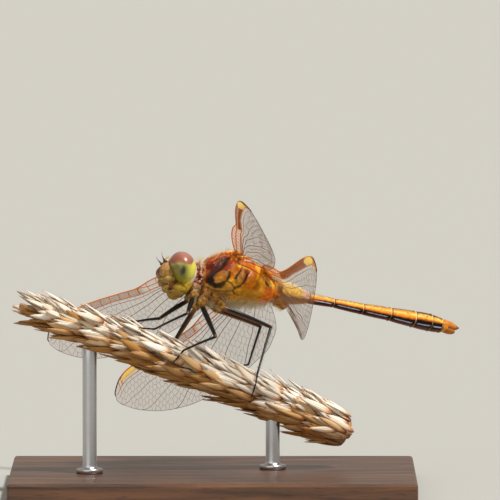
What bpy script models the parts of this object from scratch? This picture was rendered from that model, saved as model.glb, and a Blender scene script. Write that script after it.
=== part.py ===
"""A meadowhawk dragonfly, life size, gripping a cut length of grass seed head on a display stand.

The world is in metres, +Z up, with the origin at the middle of the base's underside.
Everything of the insect is modelled in its own body frame and hung on one empty:
+X runs to the head, +Y to the insect's left, +Z to its back, from the middle of the thorax.
All driving dimensions are in millimetres and turned to metres when a mesh is made.
"""

import math

import bmesh
import bpy
from mathutils import Euler, Matrix, Vector

MM = 0.001
GAP = 0.03  # clear space between neighbouring pieces

# The stand.
BASE_SIZE = (40.0, 30.0, 2.0)
BASE_EDGE = 0.3
ROD_RADIUS = 0.7
ROD_FOOT = (1.3, 0.45)  # radius and height of the flange that a rod stands on
ROD_CHAMFER = 0.2
ROD_STATIONS = {"stand_rod_high": 7.0, "stand_rod_low": 25.5}  # along the perch, from its high end

# The perch: a dry grass spike, its high end nearer the front.
PERCH_HIGH_END = (-18.9, -5.4, 18.7)
PERCH_RUN = 32.9  # horizontal length
PERCH_TURN = math.radians(13.4)
PERCH_SLOPES = (0.359, 0.446)  # fall for each millimetre of run, at the high and the low end
PERCH_RADII = (1.95, 2.45)
HUSK_ROWS = 9
HUSK_LENGTH = 3.1
HUSK_LIFT = 0.42  # how far a husk's tip stands out of the spike
PERCH_RINGS = 46

# The insect's place and pose.
THORAX_CENTRE = (2.5, 4.0, 20.7)
HEADING = math.radians(201.0)
PITCH = math.radians(14.1)
ROLL = math.radians(19.4)

# Head, in a frame of its own at the middle of the head.
HEAD_CENTRE = (6.6, 0.0, -1.0)
HEAD_TURN = math.radians(-5.0)
EYE_CENTRE = (-0.15, 1.22, 0.12)
EYE_RADII = (1.45, 1.5, 1.68)
# Rounded pieces of the head: centre and radii. The first of each group gives the node its name.
FACE_PIECES = {
    "frons": ((1.12, 0.0, 0.05), (0.98, 1.12, 0.92)),
    "vertex": ((1.15, 0.0, 1.0), (0.42, 0.5, 0.36)),
    "clypeus": ((1.1, 0.0, -0.75), (0.82, 1.15, 0.62)),
}
MOUTH_PIECES = {
    "labrum": ((0.95, 0.0, -1.4), (0.62, 0.92, 0.5)),
    "cheek_left": ((0.0, 0.95, -1.6), (0.85, 0.62, 0.62)),
    "cheek_right": ((0.0, -0.95, -1.6), (0.85, 0.62, 0.62)),
    "labium": ((-0.05, 0.0, -1.85), (1.15, 1.2, 0.62)),
}
HEAD_BACK = ((-0.8, 0.0, -0.1), (0.95, 2.45, 1.95))
ANTENNA = ((1.62, 0.5, 1.12), (1.95, 0.68, 1.38), (2.3, 0.9, 1.62), (2.6, 1.15, 1.72))  # left side
FEELER_RADIUS = 0.25

# Wings: length, root, sweep to the front, droop, pitch at root and tip, rise of the tip.
WING_THICKNESS = 0.5
WING_CAMBER = 0.02  # bulge over the chord's width
WING_SHARES = (0.1, 0.2, 0.4, 0.6, 0.78, 0.9, 0.98)  # extra stations between the outline's own
WING_COLUMNS = 5
FOREWING = {
    "length": 25.8,
    "root": (0.5, 0.9, 2.0),
    "sweep": 23.3,
    "droop": 7.8,
    "pitch": (32.7, 46.3),
    "rise": 0.4,
}
HINDWING = {
    "length": 24.8,
    "root": (-2.3, 0.9, 1.0),
    "sweep": 11.4,
    "droop": 17.9,
    "pitch": (47.2, 75.0),
    "rise": 1.6,
}
# Outline: share of the length, leading edge before the axis, trailing edge behind it.
FOREWING_OUTLINE = (
    (0.0, 0.5, 0.7),
    (0.06, 0.75, 1.7),
    (0.15, 0.95, 2.9),
    (0.3, 1.05, 4.2),
    (0.5, 1.0, 5.0),
    (0.7, 0.85, 5.2),
    (0.85, 0.5, 4.6),
    (0.95, -0.2, 3.3),
    (1.0, -1.3, 1.9),
)
HINDWING_OUTLINE = (
    (0.0, 0.45, 1.3),
    (0.05, 0.6, 5.0),
    (0.12, 0.8, 6.5),
    (0.24, 0.95, 6.9),
    (0.43, 1.0, 6.5),
    (0.65, 0.85, 5.9),
    (0.83, 0.5, 4.8),
    (0.94, -0.2, 3.3),
    (1.0, -1.2, 2.0),
)

# Thorax stations: place along the body, back, belly and half width.
END_BULGE = 0.12  # how far a trunk piece is rounded off past its last station
THORAX = (
    (-3.85, -0.1, -1.35, 0.55),
    (-3.5, 0.45, -1.75, 0.95),
    (-2.7, 1.1, -2.05, 1.4),
    (-1.7, 1.75, -2.35, 1.75),
    (-0.5, 2.3, -2.65, 1.95),
    (0.8, 2.5, -2.95, 2.0),
    (2.0, 2.15, -3.1, 1.9),
    (3.0, 1.55, -3.05, 1.65),
    (3.7, 0.95, -2.75, 1.25),
    (4.1, 0.3, -2.3, 0.8),
)
THORAX_TAPER = 0.14  # how much narrower the back is than the belly
PROTHORAX = (
    (3.7, 0.1, -2.4, 0.75),
    (4.3, 0.45, -2.3, 0.95),
    (4.75, 0.35, -2.0, 0.85),
    (5.15, -0.25, -1.55, 0.55),
    (5.5, -0.6, -1.3, 0.35),
)

# Abdomen: where each segment starts along the body, with the half height and the axis's height there.
SEGMENT_STARTS = (-3.75, -4.3, -5.5, -7.6, -10.45, -13.6, -16.65, -19.25, -21.06, -22.27, -22.95)
SEGMENT_HALF_HEIGHTS = (1.0, 1.16, 1.12, 0.58, 0.46, 0.56, 0.66, 0.82, 0.86, 0.7, 0.5)
SEGMENT_AXIS = (-0.45, -0.4, -0.35, -0.35, -0.24, -0.15, 0.0, 0.08, 0.12, 0.08, 0.08)
SEGMENT_WIDTH_SHARE = 1.12  # width over height
SEGMENT_NECK = 0.97  # a segment's front rim over its middle
SEGMENT_FLARE = 1.07  # and its rear rim
SEGMENT_RIM = 0.18  # how much of a long segment each rim takes
CERCUS_LENGTH = 1.25
CERCUS_SPREAD = 0.3
HAMULES = ((-4.75, 0.0, -1.72), (0.75, 0.55, 0.5))

# Legs: hip (left side), thigh and shin lengths, coxa's start, thickness.
FOOT_LIFT = 0.29  # from the spike's envelope to the axis of a foot
COXA_RADII = (0.42, 0.4, 0.3)
SHIN_RADIUS = 0.25
JOINT_SPACE = 0.07  # clear space at a hip or knee, past the limb's own radius
ANKLE_SHARE = 0.16  # where a foot starts, as a share of its way round the perch
LEGS = {
    "front": {"coxa": (4.55, 0.5, -2.0), "hip": (4.85, 0.62, -3.35), "lengths": (3.45, 3.55), "radius": 0.27},
    "mid": {"coxa": (3.55, 0.62, -2.75), "hip": (3.95, 0.77, -4.0), "lengths": (4.93, 3.4), "radius": 0.28},
    "hind": {"coxa": (2.7, 0.65, -2.9), "hip": (1.5, 0.5, -3.65), "lengths": (5.12, 5.71), "radius": 0.3},
}
# For each leg: the station of its foot along the perch, the angle round it from the top
# (positive to the front), the turn of the knee about the line from hip to foot, and where the claws lie.
STANCE = {
    ("front", "left"): {"station": 12.6, "round": 12.0, "knee": -88.0, "claws": (11.2, 30.0)},
    ("front", "right"): {"station": 10.8, "round": -13.0, "knee": 140.0, "claws": (9.0, -18.0)},
    ("mid", "left"): {"station": 15.5, "round": 55.0, "knee": -91.0, "claws": (15.0, 88.0)},
    ("mid", "right"): {"station": 15.4, "round": -62.0, "knee": 115.0, "claws": (14.2, -95.0)},
    ("hind", "left"): {"station": 22.8, "round": 39.0, "knee": -68.0, "claws": (22.9, 96.0)},
    ("hind", "right"): {"station": 22.2, "round": -12.0, "knee": -81.0, "claws": (21.2, -62.0)},
}


def clear_scene():
    for obj in list(bpy.data.objects):
        bpy.data.objects.remove(obj, do_unlink=True)


def make_collection(name, shown):
    collection = bpy.data.collections.new(name)
    collection.hide_render = not shown
    bpy.context.scene.collection.children.link(collection)
    return collection


def make_material(name, colour, roughness, metallic=0.0):
    material = bpy.data.materials.new(name)
    material.use_nodes = True
    shader = material.node_tree.nodes["Principled BSDF"]
    shader.inputs["Base Color"].default_value = (*colour, 1.0)
    shader.inputs["Roughness"].default_value = roughness
    shader.inputs["Metallic"].default_value = metallic
    return material


def add_object(name, mesh, material, parent=None, cutter=False):
    """Puts a mesh in the scene as a part, or as a cutter that the build leaves out."""
    obj = bpy.data.objects.new(name, mesh)
    if cutter:
        CUTTERS.objects.link(obj)
        obj.hide_render = True
        obj.display_type = "WIRE"
    else:
        PARTS.objects.link(obj)
        mesh.materials.append(material)
        mesh.shade_smooth()
    obj.parent = parent
    return obj


def mesh_from_rings(name, rings, ends=(None, None)):
    """A closed loft through rings of points in millimetres. Each end is flat, or runs to the point given."""
    bm = bmesh.new()
    loops = [[bm.verts.new(Vector(point) * MM) for point in ring] for ring in rings]
    count = len(loops[0])
    for first, second in zip(loops, loops[1:]):
        for i in range(count):
            j = (i + 1) % count
            bm.faces.new((first[i], first[j], second[j], second[i]))
    for loop, tip, flip in ((loops[0], ends[0], True), (loops[-1], ends[1], False)):
        if tip is None:
            bm.faces.new(reversed(loop) if flip else loop)
            continue
        peak = bm.verts.new(Vector(tip) * MM)
        for i in range(count):
            j = (i + 1) % count
            bm.faces.new((loop[j], loop[i], peak) if flip else (loop[i], loop[j], peak))
    bmesh.ops.recalc_face_normals(bm, faces=bm.faces)
    mesh = bpy.data.meshes.new(name)
    bm.to_mesh(mesh)
    bm.free()
    return mesh


def body_ring(x, centre_z, half_height, half_width, segments, taper=0.0, grow=0.0):
    """A ring across the body at x: an ellipse, narrower at the back by the taper."""
    ring = []
    for i in range(segments):
        angle = 2 * math.pi * i / segments
        width = (half_width + grow) * math.sin(angle) * (1 - taper * math.cos(angle))
        ring.append((x, width, centre_z + (half_height + grow) * math.cos(angle)))
    return ring


def add_body_loft(name, stations, material, parent, segments, taper=0.0, grow=0.0, cutter=False):
    """A trunk piece from stations of (x, back, belly, half width), rounded off a little past each end."""
    rings = []
    for x, back, belly, half_width in stations:
        middle, half = (back + belly) / 2, (back - belly) / 2
        rings.append(body_ring(x, middle, half, half_width, segments, taper, grow))
    ends = []
    for station, neighbour in ((stations[0], stations[1]), (stations[-1], stations[-2])):
        outward = math.copysign(END_BULGE + grow, station[0] - neighbour[0])
        ends.append((station[0] + outward, 0.0, (station[1] + station[2]) / 2))
    return add_object(name, mesh_from_rings(name, rings, ends), material, parent, cutter)


def add_ellipsoid(name, centre, radii, material, parent, segments=16, rings=10, grow=0.0, cutter=False):
    bm = bmesh.new()
    bmesh.ops.create_uvsphere(bm, u_segments=segments, v_segments=rings, radius=1.0)
    scale = Matrix.Diagonal(((radii[0] + grow) * MM, (radii[1] + grow) * MM, (radii[2] + grow) * MM, 1.0))
    bmesh.ops.transform(bm, matrix=Matrix.Translation(Vector(centre) * MM) @ scale, verts=bm.verts)
    mesh = bpy.data.meshes.new(name)
    bm.to_mesh(mesh)
    bm.free()
    return add_object(name, mesh, material, parent, cutter)


def add_boolean(obj, other, operation):
    modifier = obj.modifiers.new(f"{operation.lower()} {other.name}", "BOOLEAN")
    modifier.operation = operation
    modifier.solver = "EXACT"
    modifier.object = other


def cut(obj, *cutters):
    for cutter in cutters:
        add_boolean(obj, cutter, "DIFFERENCE")


def join(obj, *others):
    for other in others:
        add_boolean(obj, other, "UNION")


def add_tube(name, points, radii, material, parent=None, sides=8):
    """A round limb along points in millimetres: a curve with its own radius at each point."""
    curve = bpy.data.curves.new(name, "CURVE")
    curve.dimensions = "3D"
    curve.bevel_depth = MM
    curve.bevel_resolution = sides // 2 - 2
    curve.use_fill_caps = True
    spline = curve.splines.new("POLY")
    spline.points.add(len(points) - 1)
    for point, place, radius in zip(spline.points, points, radii):
        point.co = (*(Vector(place) * MM), 1.0)
        point.radius = radius
    spline.use_smooth = True
    obj = bpy.data.objects.new(name, curve)
    PARTS.objects.link(obj)
    curve.materials.append(material)
    obj.parent = parent
    return obj


def tube_rings(points, radii, sides):
    """Rings of points round a line that bends little, with no twist from one to the next."""
    rings = []
    side = None
    for i, place in enumerate(points):
        before, after = Vector(points[max(i - 1, 0)]), Vector(points[min(i + 1, len(points) - 1)])
        along = (after - before).normalized()
        side = along.orthogonal() if side is None else side - along * side.dot(along)
        side.normalize()
        up = along.cross(side)
        ring = []
        for k in range(sides):
            angle = 2 * math.pi * k / sides
            ring.append(Vector(place) + radii[i] * (side * math.cos(angle) + up * math.sin(angle)))
        rings.append(ring)
    return rings


def blend(values, share):
    return values[0] + (values[1] - values[0]) * share


def perch_axis(station):
    """The spike's axis at this many millimetres of run from its high end."""
    share = station / PERCH_RUN
    fall = station * (PERCH_SLOPES[0] + (PERCH_SLOPES[1] - PERCH_SLOPES[0]) * share / 2)
    across = Vector((math.cos(PERCH_TURN), math.sin(PERCH_TURN), 0.0)) * station
    return Vector(PERCH_HIGH_END) + across - Vector((0.0, 0.0, fall))


def perch_frame(station):
    """Along, up and front directions of the spike at a station."""
    along = (perch_axis(station + 0.1) - perch_axis(station - 0.1)).normalized()
    up = (Vector((0.0, 0.0, 1.0)) - along * along.z).normalized()
    return along, up, along.cross(up)


def perch_point(station, angle, outside=0.0):
    """A point this far outside the spike's envelope, at an angle from its top towards the front."""
    _, up, front = perch_frame(station)
    radius = blend(PERCH_RADII, station / PERCH_RUN) + outside
    return perch_axis(station) + radius * (up * math.cos(angle) + front * math.sin(angle))


def husk_depth(station, row):
    """How far the surface lies inside the envelope: nothing at a husk's tip, then falling back along it."""
    start = HUSK_LENGTH * ((row * 0.38) % 1.0)
    return HUSK_LIFT * (((station - start) / HUSK_LENGTH) % 1.0)


def add_turned(name, profile, place, material, cutter=False):
    """A turned piece: a profile of radius and height, top to bottom, swept round an upright line."""
    bm = bmesh.new()
    points = [bm.verts.new((radius * MM, 0.0, height * MM)) for radius, height in profile]
    for first, second in zip(points, points[1:]):
        bm.edges.new((first, second))
    mesh = bpy.data.meshes.new(name)
    bm.to_mesh(mesh)
    bm.free()
    obj = add_object(name, mesh, material, None, cutter)
    obj.location = Vector((place[0], place[1], 0.0)) * MM
    screw = obj.modifiers.new("turned", "SCREW")
    screw.steps = screw.render_steps = 16
    screw.use_merge_vertices = True
    screw.merge_threshold = 1e-6
    return obj


def add_perch(material):
    """The spike with its husks as one scaly solid, bored for the rods. Ridges run along each row of husks."""
    rings = []
    for i in range(PERCH_RINGS):
        station = PERCH_RUN * i / (PERCH_RINGS - 1)
        ring = []
        for k in range(2 * HUSK_ROWS):
            angle = math.pi * k / HUSK_ROWS
            inside = husk_depth(station, k // 2) if k % 2 == 0 else HUSK_LIFT
            ring.append(perch_point(station, angle, -inside))
        rings.append(ring)
    perch = add_object("perch", mesh_from_rings("perch", rings), material)
    for name, station in ROD_STATIONS.items():
        axis = perch_axis(station)
        radius, top = ROD_RADIUS + GAP, axis.z + GAP
        profile = ((0.0, top), (radius, top), (radius, BASE_SIZE[2]), (0.0, BASE_SIZE[2]))
        cut(perch, add_turned(f"{name}_socket", profile, axis, None, True))


def add_stand(wood, steel):
    """A flat base, and two turned rods that stand on it and end inside the perch."""
    bm = bmesh.new()
    bmesh.ops.create_cube(bm, size=1.0)
    bmesh.ops.scale(bm, vec=Vector(BASE_SIZE) * MM, verts=bm.verts)
    bmesh.ops.translate(bm, vec=(0.0, 0.0, BASE_SIZE[2] / 2 * MM), verts=bm.verts)
    mesh = bpy.data.meshes.new("stand_base")
    bm.to_mesh(mesh)
    bm.free()
    base = add_object("stand_base", mesh, wood)
    bevel = base.modifiers.new("eased edges", "BEVEL")
    bevel.width = BASE_EDGE * MM
    bevel.segments = 2
    foot = BASE_SIZE[2] + GAP
    for name, station in ROD_STATIONS.items():
        axis = perch_axis(station)
        flange = foot + ROD_FOOT[1]
        profile = (
            (0.0, axis.z),
            (ROD_RADIUS - ROD_CHAMFER, axis.z),
            (ROD_RADIUS, axis.z - ROD_CHAMFER),
            (ROD_RADIUS, flange + ROD_CHAMFER),
            (ROD_RADIUS + ROD_CHAMFER, flange),
            (ROD_FOOT[0], flange - ROD_CHAMFER),
            (ROD_FOOT[0], foot),
            (0.0, foot),
        )
        add_turned(name, profile, axis, steel)


def add_half_room(name, sign, head):
    """A cutter for the half of an eye that would lie past the head's middle."""
    half = EYE_CENTRE[1] + EYE_RADII[1]
    size = Vector((3 * EYE_RADII[0], half, 3 * EYE_RADII[2]))
    bm = bmesh.new()
    bmesh.ops.create_cube(bm, size=1.0)
    bmesh.ops.scale(bm, vec=size * MM, verts=bm.verts)
    bmesh.ops.translate(bm, vec=Vector((0.0, (GAP - half) / 2 * sign, 0.0)) * MM, verts=bm.verts)
    mesh = bpy.data.meshes.new(name)
    bm.to_mesh(mesh)
    bm.free()
    return add_object(name, mesh, None, head, True)


def add_rounded(kind, pieces, material, head, grow=0.0):
    """Ellipsoids joined into one piece, or grown by the gap into one cutter."""
    made = []
    for piece, (centre, radii) in pieces.items():
        name = f"{kind}_{piece}" if made else kind
        hidden = bool(grow) or bool(made)
        made.append(add_ellipsoid(name, centre, radii, material, head, 12, 9, grow, hidden))
    join(made[0], *made[1:])
    return made[0]


def add_head(head, colours):
    """Eyes first, then the face, mouth and back of the head, each cut clear of those before it."""
    rooms = []
    for side, sign in (("left", 1), ("right", -1)):
        centre = (EYE_CENTRE[0], EYE_CENTRE[1] * sign, EYE_CENTRE[2])
        eye = add_ellipsoid(f"eye_{side}", centre, EYE_RADII, colours["eye"], head, 18, 12)
        cut(eye, add_half_room(f"eye_{side}_seam", sign, head))
        rooms.append(add_ellipsoid(f"eye_{side}_room", centre, EYE_RADII, None, head, 18, 12, GAP, True))
    face = add_rounded("face", FACE_PIECES, colours["face"], head)
    face_room = add_rounded("face_room", FACE_PIECES, None, head, GAP)
    mouth = add_rounded("mouth", MOUTH_PIECES, colours["mouth"], head)
    mouth_room = add_rounded("mouth_room", MOUTH_PIECES, None, head, GAP)
    back = add_ellipsoid("head", *HEAD_BACK, colours["head"], head, 18, 12)
    cut(face, *rooms)
    cut(mouth, *rooms, face_room)
    cut(back, *rooms, face_room, mouth_room)
    for side, sign in (("left", 1), ("right", -1)):
        points = [(x, y * sign, z) for x, y, z in ANTENNA]
        radii = [FEELER_RADIUS] * len(points)
        add_tube(f"antenna_{side}", points, radii, colours["black"], head, 6)


def add_trunk(body, head, colours):
    """Thorax and prothorax. It returns their cutters, for what grows from them."""
    add_body_loft("synthorax", THORAX, colours["thorax"], body, 20, THORAX_TAPER)
    room = add_body_loft("synthorax_room", THORAX, None, body, 20, THORAX_TAPER, GAP, True)
    prothorax = add_body_loft("prothorax", PROTHORAX, colours["thorax"], body, 14)
    prothorax_room = add_body_loft("prothorax_room", PROTHORAX, None, body, 14, 0.0, GAP, True)
    cut(prothorax, room)
    head_room = add_ellipsoid("head_room", *HEAD_BACK, None, head, 18, 12, GAP, True)
    cut(prothorax, head_room)
    return room, prothorax_room


def abdomen_ring(x, grow=0.0, flare=1.0):
    """The abdomen's ring at x, read between the segments' own sizes."""
    for i in range(len(SEGMENT_STARTS) - 1):
        first, last = SEGMENT_STARTS[i], SEGMENT_STARTS[i + 1]
        if first >= x >= last:
            share = (first - x) / (first - last)
            half = blend(SEGMENT_HALF_HEIGHTS[i : i + 2], share) * flare
            axis = blend(SEGMENT_AXIS[i : i + 2], share)
            return body_ring(x, axis, half, half * SEGMENT_WIDTH_SHARE, 14, 0.1, grow)
    raise ValueError(f"{x} is off the abdomen")


def add_abdomen(body, colours, thorax_room):
    """Ten segments, each a little waisted and flared to its rear rim, and the claspers at the end."""
    for i in range(10):
        first, last = SEGMENT_STARTS[i] - GAP / 2, SEGMENT_STARTS[i + 1] + GAP / 2
        length = first - last
        places = (0.0, SEGMENT_RIM, 1.0 - SEGMENT_RIM, 1.0) if length > 1.0 else (0.0, 0.5, 1.0)
        flares = {0.0: SEGMENT_NECK, 1.0: SEGMENT_FLARE}
        rings = [abdomen_ring(first - length * p, 0.0, flares.get(p, 1.0)) for p in places]
        name = f"abdomen_{i + 1}"
        segment = add_object(name, mesh_from_rings(name, rings), colours["abdomen"], body)
        if i < 2:
            cut(segment, thorax_room)
    for side, sign in (("left", 1), ("right", -1)):
        start = SEGMENT_STARTS[-1] - GAP
        axis = SEGMENT_AXIS[-1]
        points = [
            (start, CERCUS_SPREAD * sign, axis + 0.2),
            (start - CERCUS_LENGTH * 0.5, CERCUS_SPREAD * 1.13 * sign, axis + 0.12),
            (start - CERCUS_LENGTH, CERCUS_SPREAD * sign, axis + 0.18),
        ]
        radii = (FEELER_RADIUS, FEELER_RADIUS, FEELER_RADIUS / 2)
        add_tube(f"cercus_{side}", points, radii, colours["abdomen"], body, 6)
    hamule = add_ellipsoid("hamules", *HAMULES, colours["thorax"], body, 12, 8)
    rings = [abdomen_ring(x, 2 * GAP) for x in (-3.8, -4.3, -5.5, -7.0)]
    abdomen_room = add_object("abdomen_room", mesh_from_rings("abdomen_room", rings), None, body, True)
    cut(hamule, abdomen_room, thorax_room)
    return abdomen_room


def wing_frame(wing, sign, share):
    """The wing's axis at a share of its length: its place, the chord to the rear, and the upper side."""
    sweep, droop = math.radians(wing["sweep"]), math.radians(wing["droop"])
    span = Vector(
        (math.sin(sweep) * math.cos(droop), sign * math.cos(sweep) * math.cos(droop), -math.sin(droop))
    )
    level = Vector((-1.0, 0.0, 0.0))
    chord = (level - span * level.dot(span)).normalized()
    upper = span.cross(chord)
    if upper.z < 0:
        upper.negate()
    pitch = math.radians(blend(wing["pitch"], share))
    root = Vector((wing["root"][0], wing["root"][1] * sign, wing["root"][2]))
    origin = root + span * (share * wing["length"]) + upper * (wing["rise"] * share * share)
    tilted = chord * math.cos(pitch) - upper * math.sin(pitch)
    normal = upper * math.cos(pitch) + chord * math.sin(pitch)
    return origin, tilted, normal


def outline_at(outline, share):
    """Leading and trailing distances at a share of the length, eased between the outline's stations."""
    for first, second in zip(outline, outline[1:]):
        if share <= second[0]:
            t = (share - first[0]) / (second[0] - first[0])
            return [blend((first[k], second[k]), t) for k in (1, 2)]
    return outline[-1][1:]


def add_wing(name, wing, outline, sign, material, body, rooms):
    """A wing as a thin cambered plate with its true outline."""
    shares = sorted({share for share, _, _ in outline} | set(WING_SHARES))
    bm = bmesh.new()
    grid = []
    for share in shares:
        origin, chord, normal = wing_frame(wing, sign, share)
        lead, trail = outline_at(outline, share)
        row = []
        for k in range(WING_COLUMNS):
            across = k / (WING_COLUMNS - 1)
            offset = blend((-lead, trail), across)
            bulge = WING_CAMBER * (lead + trail) * math.sin(math.pi * across)
            row.append(bm.verts.new((origin + chord * offset + normal * bulge) * MM))
        grid.append(row)
    for first, second in zip(grid, grid[1:]):
        for k in range(WING_COLUMNS - 1):
            bm.faces.new((first[k], first[k + 1], second[k + 1], second[k]))
    bmesh.ops.recalc_face_normals(bm, faces=bm.faces)
    mesh = bpy.data.meshes.new(name)
    bm.to_mesh(mesh)
    bm.free()
    obj = add_object(name, mesh, material, body)
    solidify = obj.modifiers.new("thickness", "SOLIDIFY")
    solidify.thickness = WING_THICKNESS * MM
    solidify.offset = 0.0
    solidify.use_even_offset = False
    cut(obj, *rooms)
    return obj


def knee_of(hip, foot, lengths, turn):
    """Where two rods of these lengths meet between hip and foot, turned about the line that joins them."""
    reach = foot - hip
    distance = min(reach.length, sum(lengths) * 0.999)
    along = reach.normalized()
    share = (lengths[0] ** 2 - lengths[1] ** 2 + distance**2) / (2 * distance)
    height = math.sqrt(max(lengths[0] ** 2 - share**2, 0.0))
    up = Vector((0.0, 0.0, 1.0))
    first = (up - along * up.dot(along)).normalized()
    second = along.cross(first)
    return hip + along * share + height * (first * math.cos(turn) + second * math.sin(turn))


def add_leg(pair, side, body, pose, colours, trunk_rooms):
    """Coxa, femur, tibia and tarsus of one leg, the foot wrapped round the perch."""
    sign = 1 if side == "left" else -1
    leg, stance = LEGS[pair], STANCE[(pair, side)]
    radius = leg["radius"]
    mirror = Vector((1.0, sign, 1.0))
    coxa = Vector(leg["coxa"]) * mirror
    hip_body = Vector(leg["hip"]) * mirror
    hip = pose @ hip_body
    turn_round = math.radians(stance["round"])
    foot = perch_point(stance["station"], turn_round, FOOT_LIFT)
    knee = knee_of(hip, foot, leg["lengths"], math.radians(stance["knee"]))
    to_body = pose.inverted()
    thigh = (knee - hip).normalized()
    shin = (foot - knee).normalized()
    name = f"{pair}_{side}"
    rings = tube_rings([coxa, coxa.lerp(hip_body, 0.6), hip_body], COXA_RADII, 10)
    base = add_object(f"leg_{name}_coxa", mesh_from_rings(name, rings), colours["coxa"], body)
    cut(base, *trunk_rooms)
    start = hip + thigh * (radius + JOINT_SPACE)
    end = knee - thigh * GAP
    points = [to_body @ p for p in (start, start.lerp(end, 0.3), end)]
    add_tube(f"leg_{name}_femur", points, (radius * 0.85, radius, radius * 0.9), colours["black"], body)
    start = knee + shin * (radius + JOINT_SPACE)
    points = [to_body @ p for p in (start, foot - shin * GAP)]
    add_tube(f"leg_{name}_tibia", points, (SHIN_RADIUS, SHIN_RADIUS), colours["black"], body, 6)
    station, angle = stance["claws"]
    wrap = []
    for i in range(5):
        share = blend((ANKLE_SHARE, 1.0), i / 4)
        place = (
            blend((stance["station"], station), share),
            math.radians(blend((stance["round"], angle), share)),
        )
        wrap.append(to_body @ perch_point(*place, FOOT_LIFT))
    add_tube(f"leg_{name}_tarsus", wrap, [SHIN_RADIUS] * len(wrap), colours["black"], body, 6)


def build():
    colours = {
        "eye": make_material("eye_cornea", (0.36, 0.4, 0.06), 0.2),
        "face": make_material("face_cuticle", (0.5, 0.33, 0.07), 0.45),
        "mouth": make_material("mouth_cuticle", (0.55, 0.38, 0.06), 0.45),
        "head": make_material("head_cuticle", (0.6, 0.48, 0.25), 0.5),
        "black": make_material("leg_cuticle", (0.01, 0.01, 0.01), 0.3),
        "coxa": make_material("coxa_cuticle", (0.35, 0.18, 0.05), 0.45),
        "thorax": make_material("thorax_cuticle", (0.55, 0.2, 0.03), 0.45),
        "abdomen": make_material("abdomen_cuticle", (0.7, 0.25, 0.02), 0.35),
        "wing": make_material("wing_membrane", (0.75, 0.75, 0.72), 0.2),
        "straw": make_material("grass_straw", (0.72, 0.6, 0.4), 0.7),
        "wood": make_material("stand_wood", (0.09, 0.045, 0.025), 0.35),
        "steel": make_material("stand_steel", (0.6, 0.6, 0.6), 0.3, 1.0),
    }
    pose = Matrix.LocRotScale(Vector(THORAX_CENTRE), Euler((ROLL, -PITCH, HEADING)), None)
    body = bpy.data.objects.new("dragonfly_pose", None)
    body.location = Vector(THORAX_CENTRE) * MM
    body.rotation_euler = (ROLL, -PITCH, HEADING)
    head = bpy.data.objects.new("head_pose", None)
    head.parent = body
    head.location = Vector(HEAD_CENTRE) * MM
    head.rotation_euler = (0.0, 0.0, HEAD_TURN)
    for empty in (body, head):
        PARTS.objects.link(empty)

    add_stand(colours["wood"], colours["steel"])
    add_perch(colours["straw"])
    add_head(head, colours)
    thorax_room, prothorax_room = add_trunk(body, head, colours)
    abdomen_room = add_abdomen(body, colours, thorax_room)
    rooms = (thorax_room, abdomen_room)
    for side, sign in (("left", 1), ("right", -1)):
        add_wing(f"forewing_{side}", FOREWING, FOREWING_OUTLINE, sign, colours["wing"], body, rooms)
        add_wing(f"hindwing_{side}", HINDWING, HINDWING_OUTLINE, sign, colours["wing"], body, rooms)
    for pair, side in STANCE:
        add_leg(pair, side, body, pose, colours, (thorax_room, prothorax_room))


clear_scene()
PARTS = make_collection("dragonfly", True)
CUTTERS = make_collection("cutters", False)
build()
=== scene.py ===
import math
import random

import bmesh
import bpy
import numpy as np
from mathutils import Euler, Matrix, Vector
from mathutils.geometry import delaunay_2d_cdt


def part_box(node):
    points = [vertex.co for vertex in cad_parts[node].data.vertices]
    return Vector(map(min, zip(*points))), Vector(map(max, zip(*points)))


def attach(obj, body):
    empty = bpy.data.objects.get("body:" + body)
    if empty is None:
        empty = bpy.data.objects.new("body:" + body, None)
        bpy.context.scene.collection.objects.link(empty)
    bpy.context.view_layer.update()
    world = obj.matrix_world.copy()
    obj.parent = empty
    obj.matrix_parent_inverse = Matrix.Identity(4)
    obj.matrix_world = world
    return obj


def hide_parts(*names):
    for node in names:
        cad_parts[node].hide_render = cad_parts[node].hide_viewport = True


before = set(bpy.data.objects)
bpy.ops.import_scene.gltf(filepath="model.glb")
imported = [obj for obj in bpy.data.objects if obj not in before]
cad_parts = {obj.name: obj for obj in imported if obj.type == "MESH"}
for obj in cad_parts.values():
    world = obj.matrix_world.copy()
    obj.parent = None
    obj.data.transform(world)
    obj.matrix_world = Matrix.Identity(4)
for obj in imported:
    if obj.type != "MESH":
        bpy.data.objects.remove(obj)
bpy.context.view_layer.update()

mm = 0.001

# how the insect sits in the world: millimetres and degrees, the same values as its solids
pose = {
    "thorax": (2.5, 4.0, 20.7),
    "heading": 201.0,
    "pitch": 14.1,
    "roll": 19.4,
    "head": (6.6, 0.0, -1.0),
    "headTurn": -5.0,
}
bodyTurn = Euler([math.radians(angle) for angle in (pose["roll"], -pose["pitch"], pose["heading"])])
bodyPlace = Matrix.LocRotScale(Vector(pose["thorax"]), bodyTurn, None)  # x to the head, y left, z back
headTurn = Euler((0, 0, math.radians(pose["headTurn"])))
headPlace = bodyPlace @ Matrix.LocRotScale(Vector(pose["head"]), headTurn, None)
headInBody = bodyPlace.inverted() @ headPlace
worldPlace = Matrix.Identity(4)


def moved(points, place):
    table = np.array(place)
    return np.asarray(points, float) @ table[:3, :3].T + table[:3, 3]


def unit(vector):
    return vector / np.linalg.norm(vector, axis=-1, keepdims=True)


def leftOf(points):
    # the same points with those on the right side mirrored to the left
    return np.column_stack([points[:, 0], abs(points[:, 1]), points[:, 2]])


def mirrored(rows):
    # rows that start with a place; those off the middle come in pairs
    return [((x, y * side, z), *rest) for (x, y, z), *rest in rows for side in ((1, -1) if y else (1,))]


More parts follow.
